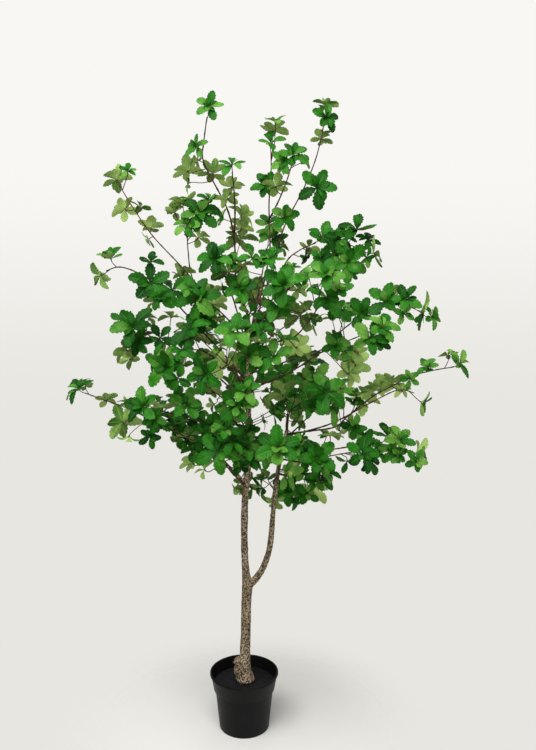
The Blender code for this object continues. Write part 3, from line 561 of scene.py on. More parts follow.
def standOff(points, radius, blockers):
    # Moves a stem's root out along the stem until it just clears the wood that carries it
    heading = (points[1] - points[0]).normalized()
    side, other = crossFrame(heading)
    rim = [swung(side, other, math.tau * k / 8) * radius for k in range(8)]
    for step in range(400):
        root = points[0] + heading * step * 0.0002
        if all(isClear(root + out, blocker) for blocker in blockers for out in rim):
            return [root] + points[1:]
    return points


def touches(tree, others):
    return any(tree.overlap(other) for other in others)


def planStems(wood):
    # Settles every spray's stem, each bent clear of the ones before it
    settled = {}
    trees = {}
    for name, spray in sprays.items():
        carriers = wood + list(trees.values())
        for push in (0, 1.2, -1.2, 2.4, -2.4, 3.6, -3.6, 5, -5):
            points = stemPoints(spray["stem"], push)
            radii = stemRadii(name, points)
            points = standOff(points, radii[0], carriers)
            fat = [radii[0]] + [radius + spraySize["clearance"] for radius in radii[1:]]
            if not touches(tubeTree(points, fat, 6), carriers):
                break
        settled[name] = points
        trees[name] = tubeTree(points, radii, 6)
    return settled, trees


def twigRun(points, spot, centre, axis):
    # The twig leaves its stem a little below the whorl and turns into the whorl's axis
    i, share = spot
    base = points[i].lerp(points[i + 1], share)
    back = min(0.3 * (centre - base).length + 0.004, (base - points[i]).length)
    heading = (points[i + 1] - points[i]).normalized()
    return [base - heading * back, centre - axis * spraySize["bend"], centre + axis * spraySize["bud"]]


def planWhorl(name, index, points, obstacles, fixed):
    # Settles one whorl: its place, its axis and its leaves, clear of all that is settled.
    # A whorl past those of the solids is kept where it first fits its twig, if nothing is clear.
    px, py, size, way = sprays[name]["whorls"][index]
    facing = facings[way]
    rng = random.Random(f"{name}:{index}")
    spot = nearestOnStem(sprays[name]["stem"], px, py)
    seat = points[spot[0]].lerp(points[spot[0] + 1], spot[1])
    spare = None
    for attempt in range(90 if index in solidWhorls(name) else 30):
        swing = 0.0 if attempt == 0 else (0.004 + 0.0012 * attempt) * (1 if attempt % 2 else -1)
        centre = viewPoint(px, py, seat.y + facing["back"] + rng.uniform(-0.012, 0.012) + swing)
        outward = centre - seat if (centre - seat).length > 0.004 else points[-1] - points[-2]
        wobble = Vector((rng.uniform(-0.35, 0.35), rng.uniform(-0.2, 0.2), rng.uniform(-0.2, 0.2)))
        along = outward.normalized() * (facing["follow"] + 0.012 * attempt)
        axis = (facing["lean"] + along + wobble).normalized()
        leaves = whorlLeaves(size * viewScale(centre) * spraySize["reach"], rng)
        twig = twigRun(points, spot, centre, axis)
        if (twig[1] - twig[0]).normalized().dot(axis) < 0.30 or centre.z < potSize["height"]:
            continue
        whorl = (centre, axis, leaves, twig, facing["tone"])
        spare = spare or whorl
        rodStart = twig[0].lerp(twig[1], 0.12)
        plate = whorlTree(centre, axis, leaves)
        rod = tubeTree([rodStart, twig[1]], [spraySize["twig"] * 1.5] * 2, 4)
        neck = tubeTree(twig[1:], [spraySize["twig"] * 1.5] * 2, 4)
        if rod.overlap(plate) or touches(plate, obstacles) or touches(rod, fixed) or touches(neck, fixed):
            continue
        return whorl, (plate, rod, neck)
    if index in solidWhorls(name):
        return None, ()
    return spare, ()


def laterWhorls(name):
    # The whorls that only the looks have
    return range(len(solidWhorls(name)), len(sprays[name]["whorls"]))


# Fillers keep to the crown's dense middle, given by its centre and half sizes. Each is so many on
# 20 cm of stem, sized in pixels of the view.
# Fillers take a lower tone: painted shade for the whorls deep inside the crown
fillerLook = dict(
    each=2.6, size=(20, 30), pixel=0.0027, away=(0.018, 0.055), centre=(0.02, 0.16, 1.02),
    reach=(0.36, 0.24, 0.30), tone=-0.10, cover=0.5, inset=6.0,
)


def viewSpot(point):
    # Where a point shows in the front view, in pixels
    offset = point - view["eye"]
    depth = offset.y * math.cos(view["tilt"]) - offset.z * math.sin(view["tilt"])
    rise = offset.y * math.sin(view["tilt"]) + offset.z * math.cos(view["tilt"])
    across = view["width"] / 2 + view["focal"] * offset.x / depth
    return across, view["height"] / 2 - view["focal"] * rise / depth


def isCovered(centre):
    # Whether a filler lies behind one of the listed whorls, so that the front's gaps stay open
    px, py = viewSpot(centre)
    return any(math.hypot(px - x, py - y) < size * fillerLook["cover"] - fillerLook["inset"]
               for spray in sprays.values() for x, y, size, _ in spray["whorls"])


def fillSpray(points, obstacles, rng):
    # Small whorls scattered along a stem, where there is room, for every side of the tree
    found = []
    trees = []
    reach = sum((points[i + 1] - points[i]).length for i in range(len(points) - 1))
    wanted = round(fillerLook["each"] * reach / 0.2 + rng.uniform(-0.5, 0.5))
    for _ in range(wanted * 24):
        if len(found) >= wanted:
            break
        at = rng.uniform(0.30, 0.97) * (len(points) - 1)
        spot = (int(at), at % 1)
        heading = (points[spot[0] + 1] - points[spot[0]]).normalized()
        side, other = crossFrame(heading)
        turn = rng.uniform(0, math.tau)
        away = swung(side, other, turn) + heading * rng.uniform(0.1, 0.9)
        away = (away + Vector((0, 0, rng.uniform(-0.1, 0.7)))).normalized()
        seat = points[spot[0]].lerp(points[spot[0] + 1], spot[1])
        centre = seat + away * rng.uniform(*fillerLook["away"])
        off = [(a - b) / c for a, b, c in zip(centre, fillerLook["centre"], fillerLook["reach"])]
        if Vector(off).length > 1 or not isCovered(centre):
            continue
        wobble = Vector((rng.uniform(-0.4, 0.4), rng.uniform(-0.6, 0.3), rng.uniform(0.1, 0.9)))
        axis = (away + wobble).normalized()
        leaves = whorlLeaves(rng.uniform(*fillerLook["size"]) * fillerLook["pixel"] * spraySize["reach"], rng)
        twig = twigRun(points, spot, centre, axis)
        if (twig[1] - twig[0]).length < 0.004 or (twig[1] - twig[0]).normalized().dot(axis) < 0.30:
            continue
        plate = whorlTree(centre, axis, leaves)
        if touches(plate, obstacles + trees):
            continue
        found.append((centre, axis, leaves, twig, fillerLook["tone"]))
        trees.append(plate)
    return found, trees


def planSprays(wood):
    # Settles every stem, then the solids' whorls, then the rest of the listed ones and the fillers
    stems, stemTrees = planStems(wood)
    whorls = {name: [] for name in sprays}
    whorlTrees = []
    for indicesOf in (solidWhorls, laterWhorls):
        for name in sprays:
            others = [tree for other, tree in stemTrees.items() if other != name] + wood
            for index in indicesOf(name):
                fixed = others + whorlTrees
                whorl, trees = planWhorl(name, index, stems[name], fixed + [stemTrees[name]], fixed)
                if whorl:
                    whorls[name].append(whorl)
                    whorlTrees += trees
    for name in sprays:
        obstacles = list(stemTrees.values()) + wood + whorlTrees
        found, trees = fillSpray(stems[name], obstacles, random.Random("fillers of " + name))
        whorls[name] += found
        whorlTrees += trees
    return stems, whorls


class Wire:
    # A node's output in a material. Maths on it adds Math nodes, and make adds any other node.

    def __init__(self, tree, socket=None):
        self.tree = tree
        self.socket = socket

    def make(self, kind, settings=None, values=None, output=0):
        node = self.tree.nodes.new(kind)
        for name, setting in (settings or {}).items():
            if name == "stops":
                marks = node.color_ramp.elements
                for place, _ in setting[1:-1]:
                    marks.new(place)
                for mark, (place, colour) in zip(marks, setting):
                    mark.position = place
                    mark.color = (*colour, 1.0)
            else:
                setattr(node, name, setting)
        for name, value in (values or {}).items():
            if isinstance(value, Wire):
                self.tree.links.new(value.socket, node.inputs[name])
            else:
                node.inputs[name].default_value = value
        return Wire(self.tree, node.outputs[output])

    def maths(self, operation, *values):
        return self.make("ShaderNodeMath", dict(operation=operation), dict(enumerate(values)))

    def __add__(self, other):
        return self.maths("ADD", self, other)

    def __radd__(self, other):
        return self.maths("ADD", other, self)

    def __sub__(self, other):
        return self.maths("SUBTRACT", self, other)

    def __rsub__(self, other):
        return self.maths("SUBTRACT", other, self)

    def __mul__(self, other):
        return self.maths("MULTIPLY", self, other)

    def __rmul__(self, other):
        return self.maths("MULTIPLY", other, self)

    def __mod__(self, other):
        return self.maths("FLOORED_MODULO", self, other)

    def size(self):
        return self.maths("ABSOLUTE", self)

    def rising(self, low, high):
        # 0 below low, 1 above high, and smooth between them
        return self.make("ShaderNodeMapRange", dict(interpolation_type="SMOOTHSTEP"),
                         {"Value": self, "From Min": low, "From Max": high})

    def spread(self, low, high):
        # A value from 0 to 1 taken to low to high
        return self.make("ShaderNodeMapRange", None, {"Value": self, "To Min": low, "To Max": high})

    def blend(self, first, second):
        # Two colours, with this value as the share of the second
        sides = [side if isinstance(side, Wire) else (*side, 1.0) for side in (first, second)]
        return self.make("ShaderNodeMix", dict(data_type="RGBA"), {0: self, 6: sides[0], 7: sides[1]}, 2)

    def ramp(self, *stops):
        return self.make("ShaderNodeValToRGB", dict(stops=stops), {"Fac": self})

    def noise(self, place, scale, detail, roughness=0.5):
        return self.make("ShaderNodeTexNoise", None,
                         {"Vector": place, "Scale": scale, "Detail": detail, "Roughness": roughness})

    def cells(self, place, scale):
        # Distance to the nearest of many scattered spots
        return self.make("ShaderNodeTexVoronoi", None, {"Vector": place, "Scale": scale, "Randomness": 1.0})

    def mark(self, name):
        # A value that the mesh carries at each point
        return self.make("ShaderNodeAttribute", dict(attribute_name=name), output=2)

    def place(self):
        return self.make("ShaderNodeTexCoord", output=3)

    def stretched(self, place, scale):
        return self.make("ShaderNodeMapping", None, {"Vector": place, "Scale": scale})

    def bump(self, height, distance, strength):
        return self.make("ShaderNodeBump", None,
                         {"Height": height, "Distance": distance, "Strength": strength})


def colour(*levels):
    # A colour as the screen shows it, 0 to 255, made linear
    return tuple(((level / 255 + 0.055) / 1.055) ** 2.4 if level > 10 else level / 255 / 12.92
                 for level in levels)


def startMaterial(name, **constants):
    # A material with its Principled shader, constant values set on the shader's own sockets
    material = bpy.data.materials.new(name)
    material.use_nodes = True
    shader = material.node_tree.nodes["Principled BSDF"]
    for socket, value in constants.items():
        shader.inputs[socket.replace("_", " ")].default_value = value
    return material, Wire(material.node_tree), shader


def feed(shader, **wires):
    for socket, wire in wires.items():
        wire.tree.links.new(wire.socket, shader.inputs[socket.replace("_", " ")])


leafLook = dict(
    # bright: the paler green that the mottle reaches, partly painted sheen
    deep=colour(4, 54, 1), middle=colour(34, 104, 14), bright=colour(114, 162, 68),
    # root: painted shade at the whorls' middles, where the leaves meet
    vein=colour(90, 158, 66), root=colour(6, 50, 4),
    # The underside greens are the leaves' own paler colour, raised further as painted light shining through
    # the leaf
    underDeep=colour(56, 114, 30), underBright=colour(176, 208, 114), underVein=colour(192, 220, 136),
    veins=7.0, veinLean=0.24, shiny=0.32, dull=0.56, relief=0.0010,
)


def leafVeins(wire):
    # On a leaf's own map: how much a place is midrib, side vein and root, and the swell between veins
    leafMap = wire.make("ShaderNodeUVMap", dict(uv_map="leafMap"))
    u = wire.make("ShaderNodeSeparateXYZ", None, {"Vector": leafMap})
    v = Wire(wire.tree, u.socket.node.outputs[1])
    across = (u - 0.5).size() * 2
    along = (v - across * leafLook["veinLean"]) * leafLook["veins"]
    wave = ((along % 1) - 0.5).size() * 2
    midrib = 1 - across.rising(0.03, 0.13)
    sideVein = wave.rising(0.80, 0.98) * (1 - across.rising(0.70, 0.98))
    # The root share is painted shade: each leaf darkens towards its root, in the whorl's shaded middle
    root = 1 - v.rising(0.04, 0.42)
    swell = (1 - wave * wave) * across.rising(0.0, 0.25)
    return midrib, sideVein, root, swell


def leafTopMaterial():
    material, wire, shader = startMaterial("leafTop", Specular_IOR_Level=0.11)
    midrib, sideVein, root, swell = leafVeins(wire)
    place = wire.place()
    tone = wire.mark("tone")
    # The mottle shifts the tone: partly the leaves' own blotches, partly painted sheen as paler green patches
    mottle = wire.noise(place, 55.0, 4.0, 0.6)
    shade = (tone + (mottle - 0.5) * 0.6).ramp((0.0, leafLook["deep"]), (0.5, leafLook["middle"]),
                                               (1.0, leafLook["bright"]))
    fine = wire.noise(place, 420.0, 2.0)
    shade = (sideVein * 0.12).blend(shade, leafLook["vein"])
    shade = (midrib * 0.20).blend(shade, leafLook["vein"])
    # Painted shade: the leaf darkens to the root colour towards its root, in the whorl's shaded middle
    shade = (root * 0.60).blend(shade, leafLook["root"])
    height = swell * 0.8 - midrib * 0.7 + fine * 0.12
    feed(shader, Base_Color=shade, Roughness=mottle.spread(leafLook["shiny"], leafLook["dull"]),
         Normal=wire.bump(height, leafLook["relief"], 0.8))
    return material


def leafUnderMaterial():
    material, wire, shader = startMaterial("leafUnder", Specular_IOR_Level=0.1)
    midrib, sideVein, _, _ = leafVeins(wire)
    place = wire.place()
    tone = wire.mark("tone")
    mottle = wire.noise(place, 60.0, 4.0, 0.6)
    # The underside's greens: its own paler colour, raised further as painted light shining through the leaf
    shade = (tone + (mottle - 0.5) * 0.6).ramp((0.1, leafLook["underDeep"]), (0.9, leafLook["underBright"]))
    shade = (sideVein * 0.25).blend(shade, leafLook["underVein"])
    shade = (midrib * 0.45).blend(shade, leafLook["underVein"])
    height = sideVein * 0.5 + midrib * 0.9 + mottle * 0.1
    feed(shader, Base_Color=shade, Roughness=mottle.spread(0.58, 0.74),
         Normal=wire.bump(height, leafLook["relief"] * 0.8, 0.8))
    return material


twigLook = dict(dark=colour(62, 38, 32), lit=colour(132, 92, 70), ring=colour(40, 26, 22))


def twigMaterial():
    material, wire, shader = startMaterial("twigBark", Specular_IOR_Level=0.3)
    place = wire.place()
    patches = wire.noise(place, 70.0, 3.0, 0.6)
    grain = wire.noise(place, 900.0, 2.0)
    shade = patches.ramp((0.32, twigLook["ring"]), (0.5, twigLook["dark"]), (0.72, twigLook["lit"]))
    shade = (grain.rising(0.45, 0.7) * 0.35).blend(shade, twigLook["ring"])
    feed(shader, Base_Color=shade, Roughness=grain.spread(0.6, 0.85),
         Normal=wire.bump(grain + patches * 0.8, 0.0006, 0.7))
    return material


# groove and pit: the bark's own dark specks, deepened with painted shade in their hollows
barkLook = dict(
    pale=colour(204, 187, 160), tan=colour(144, 127, 102), dark=colour(86, 70, 53), groove=colour(62, 48, 35),
    pit=colour(26, 18, 12), flecks=290.0, relief=0.0016,
)


def barkMaterial():
    material, wire, shader = startMaterial("trunkBark", Specular_IOR_Level=0.2)
    place = wire.place()
    upright = wire.stretched(place, (1.0, 1.0, 0.62))
    warp = wire.noise(place, 60.0, 3.0)
    patches = wire.noise(upright, 38.0, 4.0, 0.6)
    grain = wire.noise(upright, 380.0, 3.0, 0.65)
    pit = wire.mark("pit")
    fleck = 1 - wire.cells(upright, barkLook["flecks"]).rising(0.16, 0.46)
    fleck = fleck * warp.rising(0.30, 0.55)
    shade = (patches * 0.55 + grain * 0.45).ramp((0.30, barkLook["dark"]), (0.48, barkLook["tan"]),
                                                 (0.66, barkLook["pale"]))
    # Flecks and pits take dark colours: the bark's own dark specks, deepened with painted shade in their
    # hollows
    shade = (fleck * 0.75).blend(shade, barkLook["groove"])
    shade = (pit.rising(0.0, 0.95) * 0.92).blend(shade, barkLook["pit"])
    height = grain * 0.8 - fleck * 0.6 + patches * 0.4
    feed(shader, Base_Color=shade, Roughness=grain.spread(0.72, 0.95),
         Normal=wire.bump(height, barkLook["relief"], 0.9))
    return material


potLook = dict(black=colour(12, 12, 13), worn=colour(24, 24, 25), shiny=0.28, dull=0.66, steps=96,
               drainTurn=0.37, smooth=math.radians(32))


def plasticMaterial():
    material, wire, shader = startMaterial("potPlastic", Specular_IOR_Level=0.12)
    place = wire.place()
    cloud = wire.noise(place, 26.0, 4.0, 0.6)
    grain = wire.noise(place, 900.0, 2.0)
    streaks = wire.noise(wire.stretched(place, (1.0, 1.0, 0.08)), 150.0, 3.0, 0.6)
    shade = (cloud.rising(0.42, 0.75) * 0.4 + streaks.rising(0.52, 0.8) * 0.35).blend(
        potLook["black"], potLook["worn"])
    feed(shader, Base_Color=shade,
         Roughness=(cloud * 0.6 + streaks * 0.4).spread(potLook["shiny"], potLook["dull"]),
         Normal=wire.bump(grain * 0.6 + streaks * 0.5, 0.0003, 0.5))
    return material


gritLook = dict(dark=colour(13, 13, 15), middle=colour(29, 29, 32), pale=colour(74, 72, 70),
                rings=26, steps=120, lump=0.012, rough=0.0022, smooth=math.radians(50))


def gritMaterial():
    material, wire, shader = startMaterial("fillGrit", Specular_IOR_Level=0.15)
    place = wire.place()
    lumps = wire.noise(place, 90.0, 5.0, 0.65)
    sand = wire.noise(place, 1100.0, 2.0)
    speck = 1 - wire.cells(place, 520.0).rising(0.08, 0.24)
    shade = (lumps * 0.7 + sand * 0.3).ramp((0.34, gritLook["dark"]), (0.62, gritLook["middle"]))
    shade = (speck * sand.rising(0.5, 0.62) * 0.6).blend(shade, gritLook["pale"])
    feed(shader, Base_Color=shade, Roughness=sand.spread(0.78, 0.98),
         Normal=wire.bump(lumps + sand * 0.5, 0.0020, 0.8))
    return material


# The pattern leaves: a grid drawn into the blade's outline, folded along its midrib and bent.
# Half widths and bends run from the root to the tip, as shares of the blade's width and length.
leafShape = dict(
    length=0.050, width=0.028, columns=2, rows=12, thick=0.00035, teeth=0.048,
    outline=(0.09, 0.20, 0.38, 0.56, 0.72, 0.86, 0.96, 1.0, 0.99, 0.92, 0.79, 0.56, 0.17),
    kinds=dict(
        level=dict(fold=0.10, arch=0.02, droop=0.10, curl=0.02, roll=0.00),
        folded=dict(fold=0.30, arch=0.05, droop=0.12, curl=0.00, roll=0.03),
        drooping=dict(fold=0.14, arch=0.10, droop=0.34, curl=0.00, roll=-0.05),
        curled=dict(fold=0.20, arch=-0.02, droop=-0.10, curl=0.10, roll=0.06),
        cupped=dict(fold=0.24, arch=0.08, droop=0.06, curl=0.06, roll=-0.02),
        twisted=dict(fold=0.16, arch=0.04, droop=0.20, curl=0.03, roll=0.13),
    ),
)


def shiftRow(y, test=lambda co: True, **change):
    # Moves or scales the points of a blade's row at y that pass a test
    shiftPoints(lambda co: abs(co.y - y) < leafShape["length"] * 0.02 and test(co), **change)


def patternLeaf(kind, materials):
    bend = leafShape["kinds"][kind]
    length, width, rows = leafShape["length"], leafShape["width"], leafShape["rows"]
    leaf = started("pattern_leaf_" + kind, bpy.ops.mesh.primitive_grid_add,
                   x_subdivisions=leafShape["columns"], y_subdivisions=rows, size=1.0)
    leaf.data.uv_layers[0].name = "leafMap"
    bpy.ops.object.mode_set(mode="EDIT")
    shiftPoints(lambda co: True, shift=(0, 0.5, 0))
    shiftPoints(lambda co: True, scale=(width, length, 1.0))
    for row, half in enumerate(leafShape["outline"]):
        share = row / rows
        y = share * length
        # The blade stays low at its midrib, and its sides rise less towards the tip
        rise = bend["fold"] * width * half * (1 - 0.45 * share)
        shiftRow(y, lambda co: abs(co.x) > width * 0.4, shift=(0, 0, rise))
        shiftRow(y, scale=(half, 1.0, 1.0), about=(0, y, 0))
        arch = math.sin(math.pi * share) * bend["arch"]
        lift = arch - share ** 2 * bend["droop"] + share ** 4 * bend["curl"]
        shiftRow(y, shift=(0, 0, lift * length))
        # One side lies higher than the other, and the margin has small teeth
        tooth = leafShape["teeth"] * width * (1 if row % 2 else -1)
        for side in (1, -1):
            shiftRow(y, lambda co: co.x * side > 0.0001, shift=(0, 0, side * bend["roll"] * width * share))
            if 2 < row < rows:
                shiftRow(y, lambda co: co.x * side > width * half * 0.4, shift=(side * tooth, 0, 0))
    bpy.ops.object.mode_set(mode="OBJECT")
    for material in materials:
        leaf.data.materials.append(material)
    finish(leaf, [("SOLIDIFY", dict(thickness=leafShape["thick"], offset=-1.0, material_offset=1,
                                    material_offset_rim=0))])
    bpy.ops.object.shade_smooth_by_angle(angle=math.radians(50))
    return leaf


def patternBud(material):
    bud = started("pattern_bud", bpy.ops.mesh.primitive_uv_sphere_add,
                  segments=6, ring_count=5, radius=spraySize["bud"])
    bud.data.uv_layers[0].name = "leafMap"
    bpy.ops.object.mode_set(mode="EDIT")
    shiftPoints(lambda co: True, scale=(1.0, 1.0, 1.5))
    shiftPoints(lambda co: co.z > 0.002, scale=(0.4, 0.4, 1.2), about=(0, 0, 0.002))
    bpy.ops.object.mode_set(mode="OBJECT")
    bpy.ops.object.shade_smooth()
    bud.data.materials.append(material)
    return bud


def roughen(shape, scale, strength, **more):
    # Moves a shape's surface in and out by a cloudy noise
    cloud = bpy.data.textures.new(shape.name + "_cloud", "CLOUDS")
    cloud.noise_scale = scale
    finish(shape, [("DISPLACE", dict(texture=cloud, texture_coords="LOCAL", strength=strength, mid_level=0.5,
                                     **more))])


def placedCopy(pattern, name, matrix, tone):
    # A copy with its own mesh, its place in its mesh, and the tone of green that it takes
    mesh = pattern.data.copy()
    mesh.transform(matrix)
    tones = mesh.attributes.new("tone", "FLOAT", "POINT")
    tones.data.foreach_set("value", [tone] * len(mesh.vertices))
    return linked(name, mesh)


def smoothRun(points, radii, step):
    # A run of points taken through its knots on one smooth line, with its radii
    smooth = []
    for i in range(len(points) - 1):
        before = points[max(i - 1, 0)]
        start, end = points[i], points[i + 1]
        after = points[min(i + 2, len(points) - 1)]
        steps = max(1, round((end - start).length / step))
        for k in range(steps):
            t = k / steps
            spot = 0.5 * ((2 * start) + (end - before) * t
                          + (2 * before - 5 * start + 4 * end - after) * t * t
                          + (3 * start - before - 3 * end + after) * t * t * t)
            smooth.append((spot, radii[i] + (radii[i + 1] - radii[i]) * t))
    smooth.append((points[-1], radii[-1]))
    return smooth


sprayLook = dict(
    stemStep=0.008, twigStep=0.005, knot=0.22, knotSpace=0.045, socket=1.5, sink=0.004,
    leafWide=1.03, leafLong=1.02, spin=0.22, pitch=0.18, innerShare=0.9, innerSize=(0.50, 0.78),
    innerTurn=(0.35, 0.90), innerRise=(0.15, 0.60),
    tones=dict(spray_main_bright=0.46, spray_main_pale=0.48, spray_right_bright=0.50, spray_side_front=0.52,
               spray_low_front=0.42, spray_top_right=0.26, spray_mid_left=0.40, spray_top_left=0.54,
               spray_high_left=0.38, leader_left=0.46, spray_right_long=0.54, spray_right_low=0.52,
               spray_low_mid=0.30, spray_low_back=0.30, spray_low_left=0.42, spray_main_left=0.38,
               spray_shoulder=0.26, spray_right_high=0.48, spray_high_inner=0.54, spray_far_left=0.24,
               spray_low_tip=0.24),
    tone=0.42, whorlTone=0.16, leafTone=0.30,
)


def stemRun(name, points, rng):
    # A stem starts in a small collar on what carries it, and has a knot every few centimetres
    radii = stemRadii(name, points)
    start = points[0] - (points[1] - points[0]).normalized() * sprayLook["sink"]
    run = smoothRun([start] + points, [radii[0]] + radii, sprayLook["stemStep"])
    lumpy = []
    travel = 0.0
    nextKnot = rng.uniform(0.02, 0.05)
    for i, (point, radius) in enumerate(run):
        travel += (point - run[i - 1][0]).length if i else 0.0
        if i < 2:
            radius *= sprayLook["socket"] - 0.22 * i
        elif travel > nextKnot:
            radius *= 1 + sprayLook["knot"] * rng.uniform(0.8, 1.6)
            nextKnot += sprayLook["knotSpace"] * rng.uniform(0.6, 1.4)
        lumpy.append((point, radius))
    return lumpy


def twigLine(stem, twig, rng):
    # A twig leaves the drawn stem at its nearest point, and thickens where it ends in its whorl
    base = min((point for point, _ in stem), key=lambda point: (point - twig[0]).length)
    radius = spraySize["twig"]
    sway = Vector((rng.uniform(-1, 1), rng.uniform(-1, 1), rng.uniform(-1, 1)))
    middle = base.lerp(twig[1], 0.5) + sway * 0.06 * (twig[1] - base).length
    return smoothRun([base, middle, twig[1], twig[2]], [radius * 1.25, radius, radius * 0.95, radius * 1.5],
                     sprayLook["twigStep"])


def dressSpray(name, stem, whorls, patterns, bud, bark):
    # Draws one spray: its stem, its twigs and their leaves, as one piece in place of its solid
    rng = random.Random(name)
    stemLine = stemRun(name, stem, rng)
    runs = [stemLine] + [twigLine(stemLine, whorl[3], rng) for whorl in whorls]
    wood = woodObject(name + "_foliage", runs, 1, bark)
    kinds = list(patterns)
    copies = []
    base = sprayLook["tones"].get(name, sprayLook["tone"])
    for centre, axis, leaves, _, lit in whorls:
        side, other = crossFrame(axis)
        # lit is the facing's painted light and shade, added to the whorl's tone
        whorlTone = base + lit + rng.uniform(-1, 1) * sprayLook["whorlTone"]
        frameTurn = Matrix((side, other, axis)).transposed().to_4x4()
        budSeat = Matrix.Translation(centre + axis * 0.001)
        copies.append(placedCopy(bud, name + "_bud", budSeat @ frameTurn, 0.8))
        # Most whorls have a few small young leaves in their middle, standing up more
        inner = []
        if rng.random() < sprayLook["innerShare"]:
            for turn, length, width, rise in leaves[:rng.choice((3, 4, 5))]:
                size = rng.uniform(*sprayLook["innerSize"])
                inner.append((turn + rng.uniform(*sprayLook["innerTurn"]), length * size, width * size,
                              rise + rng.uniform(*sprayLook["innerRise"])))
        for turn, length, width, rise in leaves + inner:
            radial = swung(side, other, turn)
            across = swung(other, -side, turn)
            lift = rise + rng.uniform(-1, 1) * sprayLook["pitch"]
            along = swung(radial, axis, lift)
            normal = swung(axis, -radial, lift)
            roll = rng.uniform(-1, 1) * sprayLook["spin"]
            across, normal = swung(across, normal, roll), swung(normal, -across, roll)
            wide = width / leafShape["width"] * sprayLook["leafWide"]
            long = length / leafShape["length"] * sprayLook["leafLong"]
            spread = Matrix((-across * wide, along * long, normal * long)).transposed().to_4x4()
            seat = Matrix.Translation(centre + radial * 0.0012 + axis * rng.uniform(0.0, 0.0014))
            copies.append(placedCopy(patterns[rng.choice(kinds)], name + "_leaf", seat @ spread,
                                     whorlTone + rng.uniform(-1, 1) * sprayLook["leafTone"]))
    pickOnly(wood, *copies)
    bpy.ops.object.join()
    return wood


trunkLook = dict(
    grain=0.0015, step=0.010, sunk=0.02, wander=0.0022, wanderSize=0.035, rough=0.0012, roughSize=0.005,
    pitSpace=0.0044, pitDepth=0.0017, pitSize=0.33, pitEdge=0.26, pitHeight=0.85,
)


def pitBark(trunk):
    # Sinks a pit at each of many scattered spots, and marks it for the bark's colour, which paints it dark,
    # partly as painted shade
    depths = []
    tall = Vector((1.0, 1.0, trunkLook["pitHeight"])) / trunkLook["pitSpace"]
    for point in trunk.data.vertices:
        near = noise.voronoi(point.co * tall)[0]
        depths.append(1 - min(1.0, max(0.0, (near[0] - trunkLook["pitSize"]) / trunkLook["pitEdge"])))
    outward = [Vector(point.normal) for point in trunk.data.vertices]
    for point, normal, depth in zip(trunk.data.vertices, outward, depths):
        point.co -= normal * (depth * depth * trunkLook["pitDepth"])
    marks = trunk.data.attributes.new("pit", "FLOAT", "POINT")
    marks.data.foreach_set("value", depths)


def growTrunk(pegCentre, bark):
    # The moulded trunk: tubes on the runs of the solid, melted together, then roughened
    runs = trunkRuns(pegCentre, fillTop + fillSize["swell"])
    points, radii = runs[0]
    runs[0] = ([points[0] - Vector((0, 0, trunkLook["sunk"]))] + points, [radii[0]] + radii)
    trunk = woodObject("trunk_wood", [smoothRun(*run, trunkLook["step"]) for run in runs], 5, bark)
    finish(trunk, [("REMESH", dict(mode="VOXEL", voxel_size=trunkLook["grain"], use_smooth_shade=True))])
    roughen(trunk, trunkLook["wanderSize"], trunkLook["wander"])
    roughen(trunk, trunkLook["roughSize"], trunkLook["rough"])
    pitBark(trunk)
    return trunk


def spunObject(name, profile, steps, material):
    # A profile of points spun round the upright axis into a closed shell
    made = started(name, bpy.ops.mesh.primitive_plane_add, size=0.01)
    bpy.ops.object.mode_set(mode="EDIT")
    bpy.ops.mesh.select_all(action="SELECT")
    bpy.ops.mesh.merge(type="CENTER")
    bpy.ops.transform.translate(value=(profile[0][0], 0, profile[0][1]))
    for (radius, z), (lastRadius, lastZ) in zip(profile[1:], profile):
        step = (radius - lastRadius, 0, z - lastZ)
        bpy.ops.mesh.extrude_region_move(TRANSFORM_OT_translate=dict(value=step))
    bpy.ops.mesh.select_all(action="SELECT")
    bpy.ops.mesh.spin(steps=steps, angle=math.tau, center=(0, 0, 0), axis=(0, 0, 1))
    weld(0.00002)
    bpy.ops.object.mode_set(mode="OBJECT")
    made.data.materials.append(material)
    return made


def throwPot(material):
    # The pot's profile runs from its floor up the inside, over the lip and down to the foot ring
    wall, rim, height, foot = potSize["wall"], potSize["rim"], potSize["height"], potSize["foot"]
    ring, land, stand = potSize["footRing"], potSize["footLand"], potSize["stand"]
    low = potSize["floor"] + ring
    edge = height - potSize["lipDrop"]
    collar, below = potWall(potShoulder + 0.001), potWall(potShoulder)
    inner = rim - potSize["lipReach"] - wall
    profile = [
        (0.0, low), (foot - wall - 0.003, low), (foot - wall, low + 0.003),
        (below - wall, potShoulder - 0.001), (collar - wall, potShoulder + 0.003),
        (inner, height - 0.0006), (inner + 0.0006, height),
        (rim - 0.0012, height), (rim - 0.0003, height - 0.0004), (rim, height - 0.0014),
        (rim, edge + 0.001), (rim - 0.0005, edge + 0.0003), (potWall(edge) + 0.0003, edge),
        (potWall(edge), edge - 0.0006),
        (collar, potShoulder + 0.0015), (collar - 0.0006, potShoulder + 0.0004),
        (below + 0.0004, potShoulder - 0.0010), (below, potShoulder - 0.0022), (potWall(0.020), 0.020),
        (foot + 0.0004, 0.003), (foot - 0.0002, 0.0010), (foot - 0.0012, 0.0), (foot - land, 0.0),
        (foot - land - 0.002, ring), (stand, ring), (stand - 0.002, 0.0), (0.0, 0.0),
    ]
    pot = spunObject("nursery_pot", profile, potLook["steps"], material)
    for i in range(potSize["drainCount"]):
        turn = math.tau * (i + potLook["drainTurn"]) / potSize["drainCount"]
        spot = (potSize["drainCircle"] * math.cos(turn), potSize["drainCircle"] * math.sin(turn), 0.006)
        cutter = started("drain_cutter", bpy.ops.mesh.primitive_cylinder_add,
                         vertices=24, radius=potSize["drain"], depth=0.03, location=spot)
        finish(pot, [("BOOLEAN", dict(operation="DIFFERENCE", object=cutter, solver="EXACT"))])
        bpy.data.objects.remove(cutter, do_unlink=True)
    pickOnly(pot)
    bpy.ops.object.shade_smooth_by_angle(angle=potLook["smooth"])
    return pot


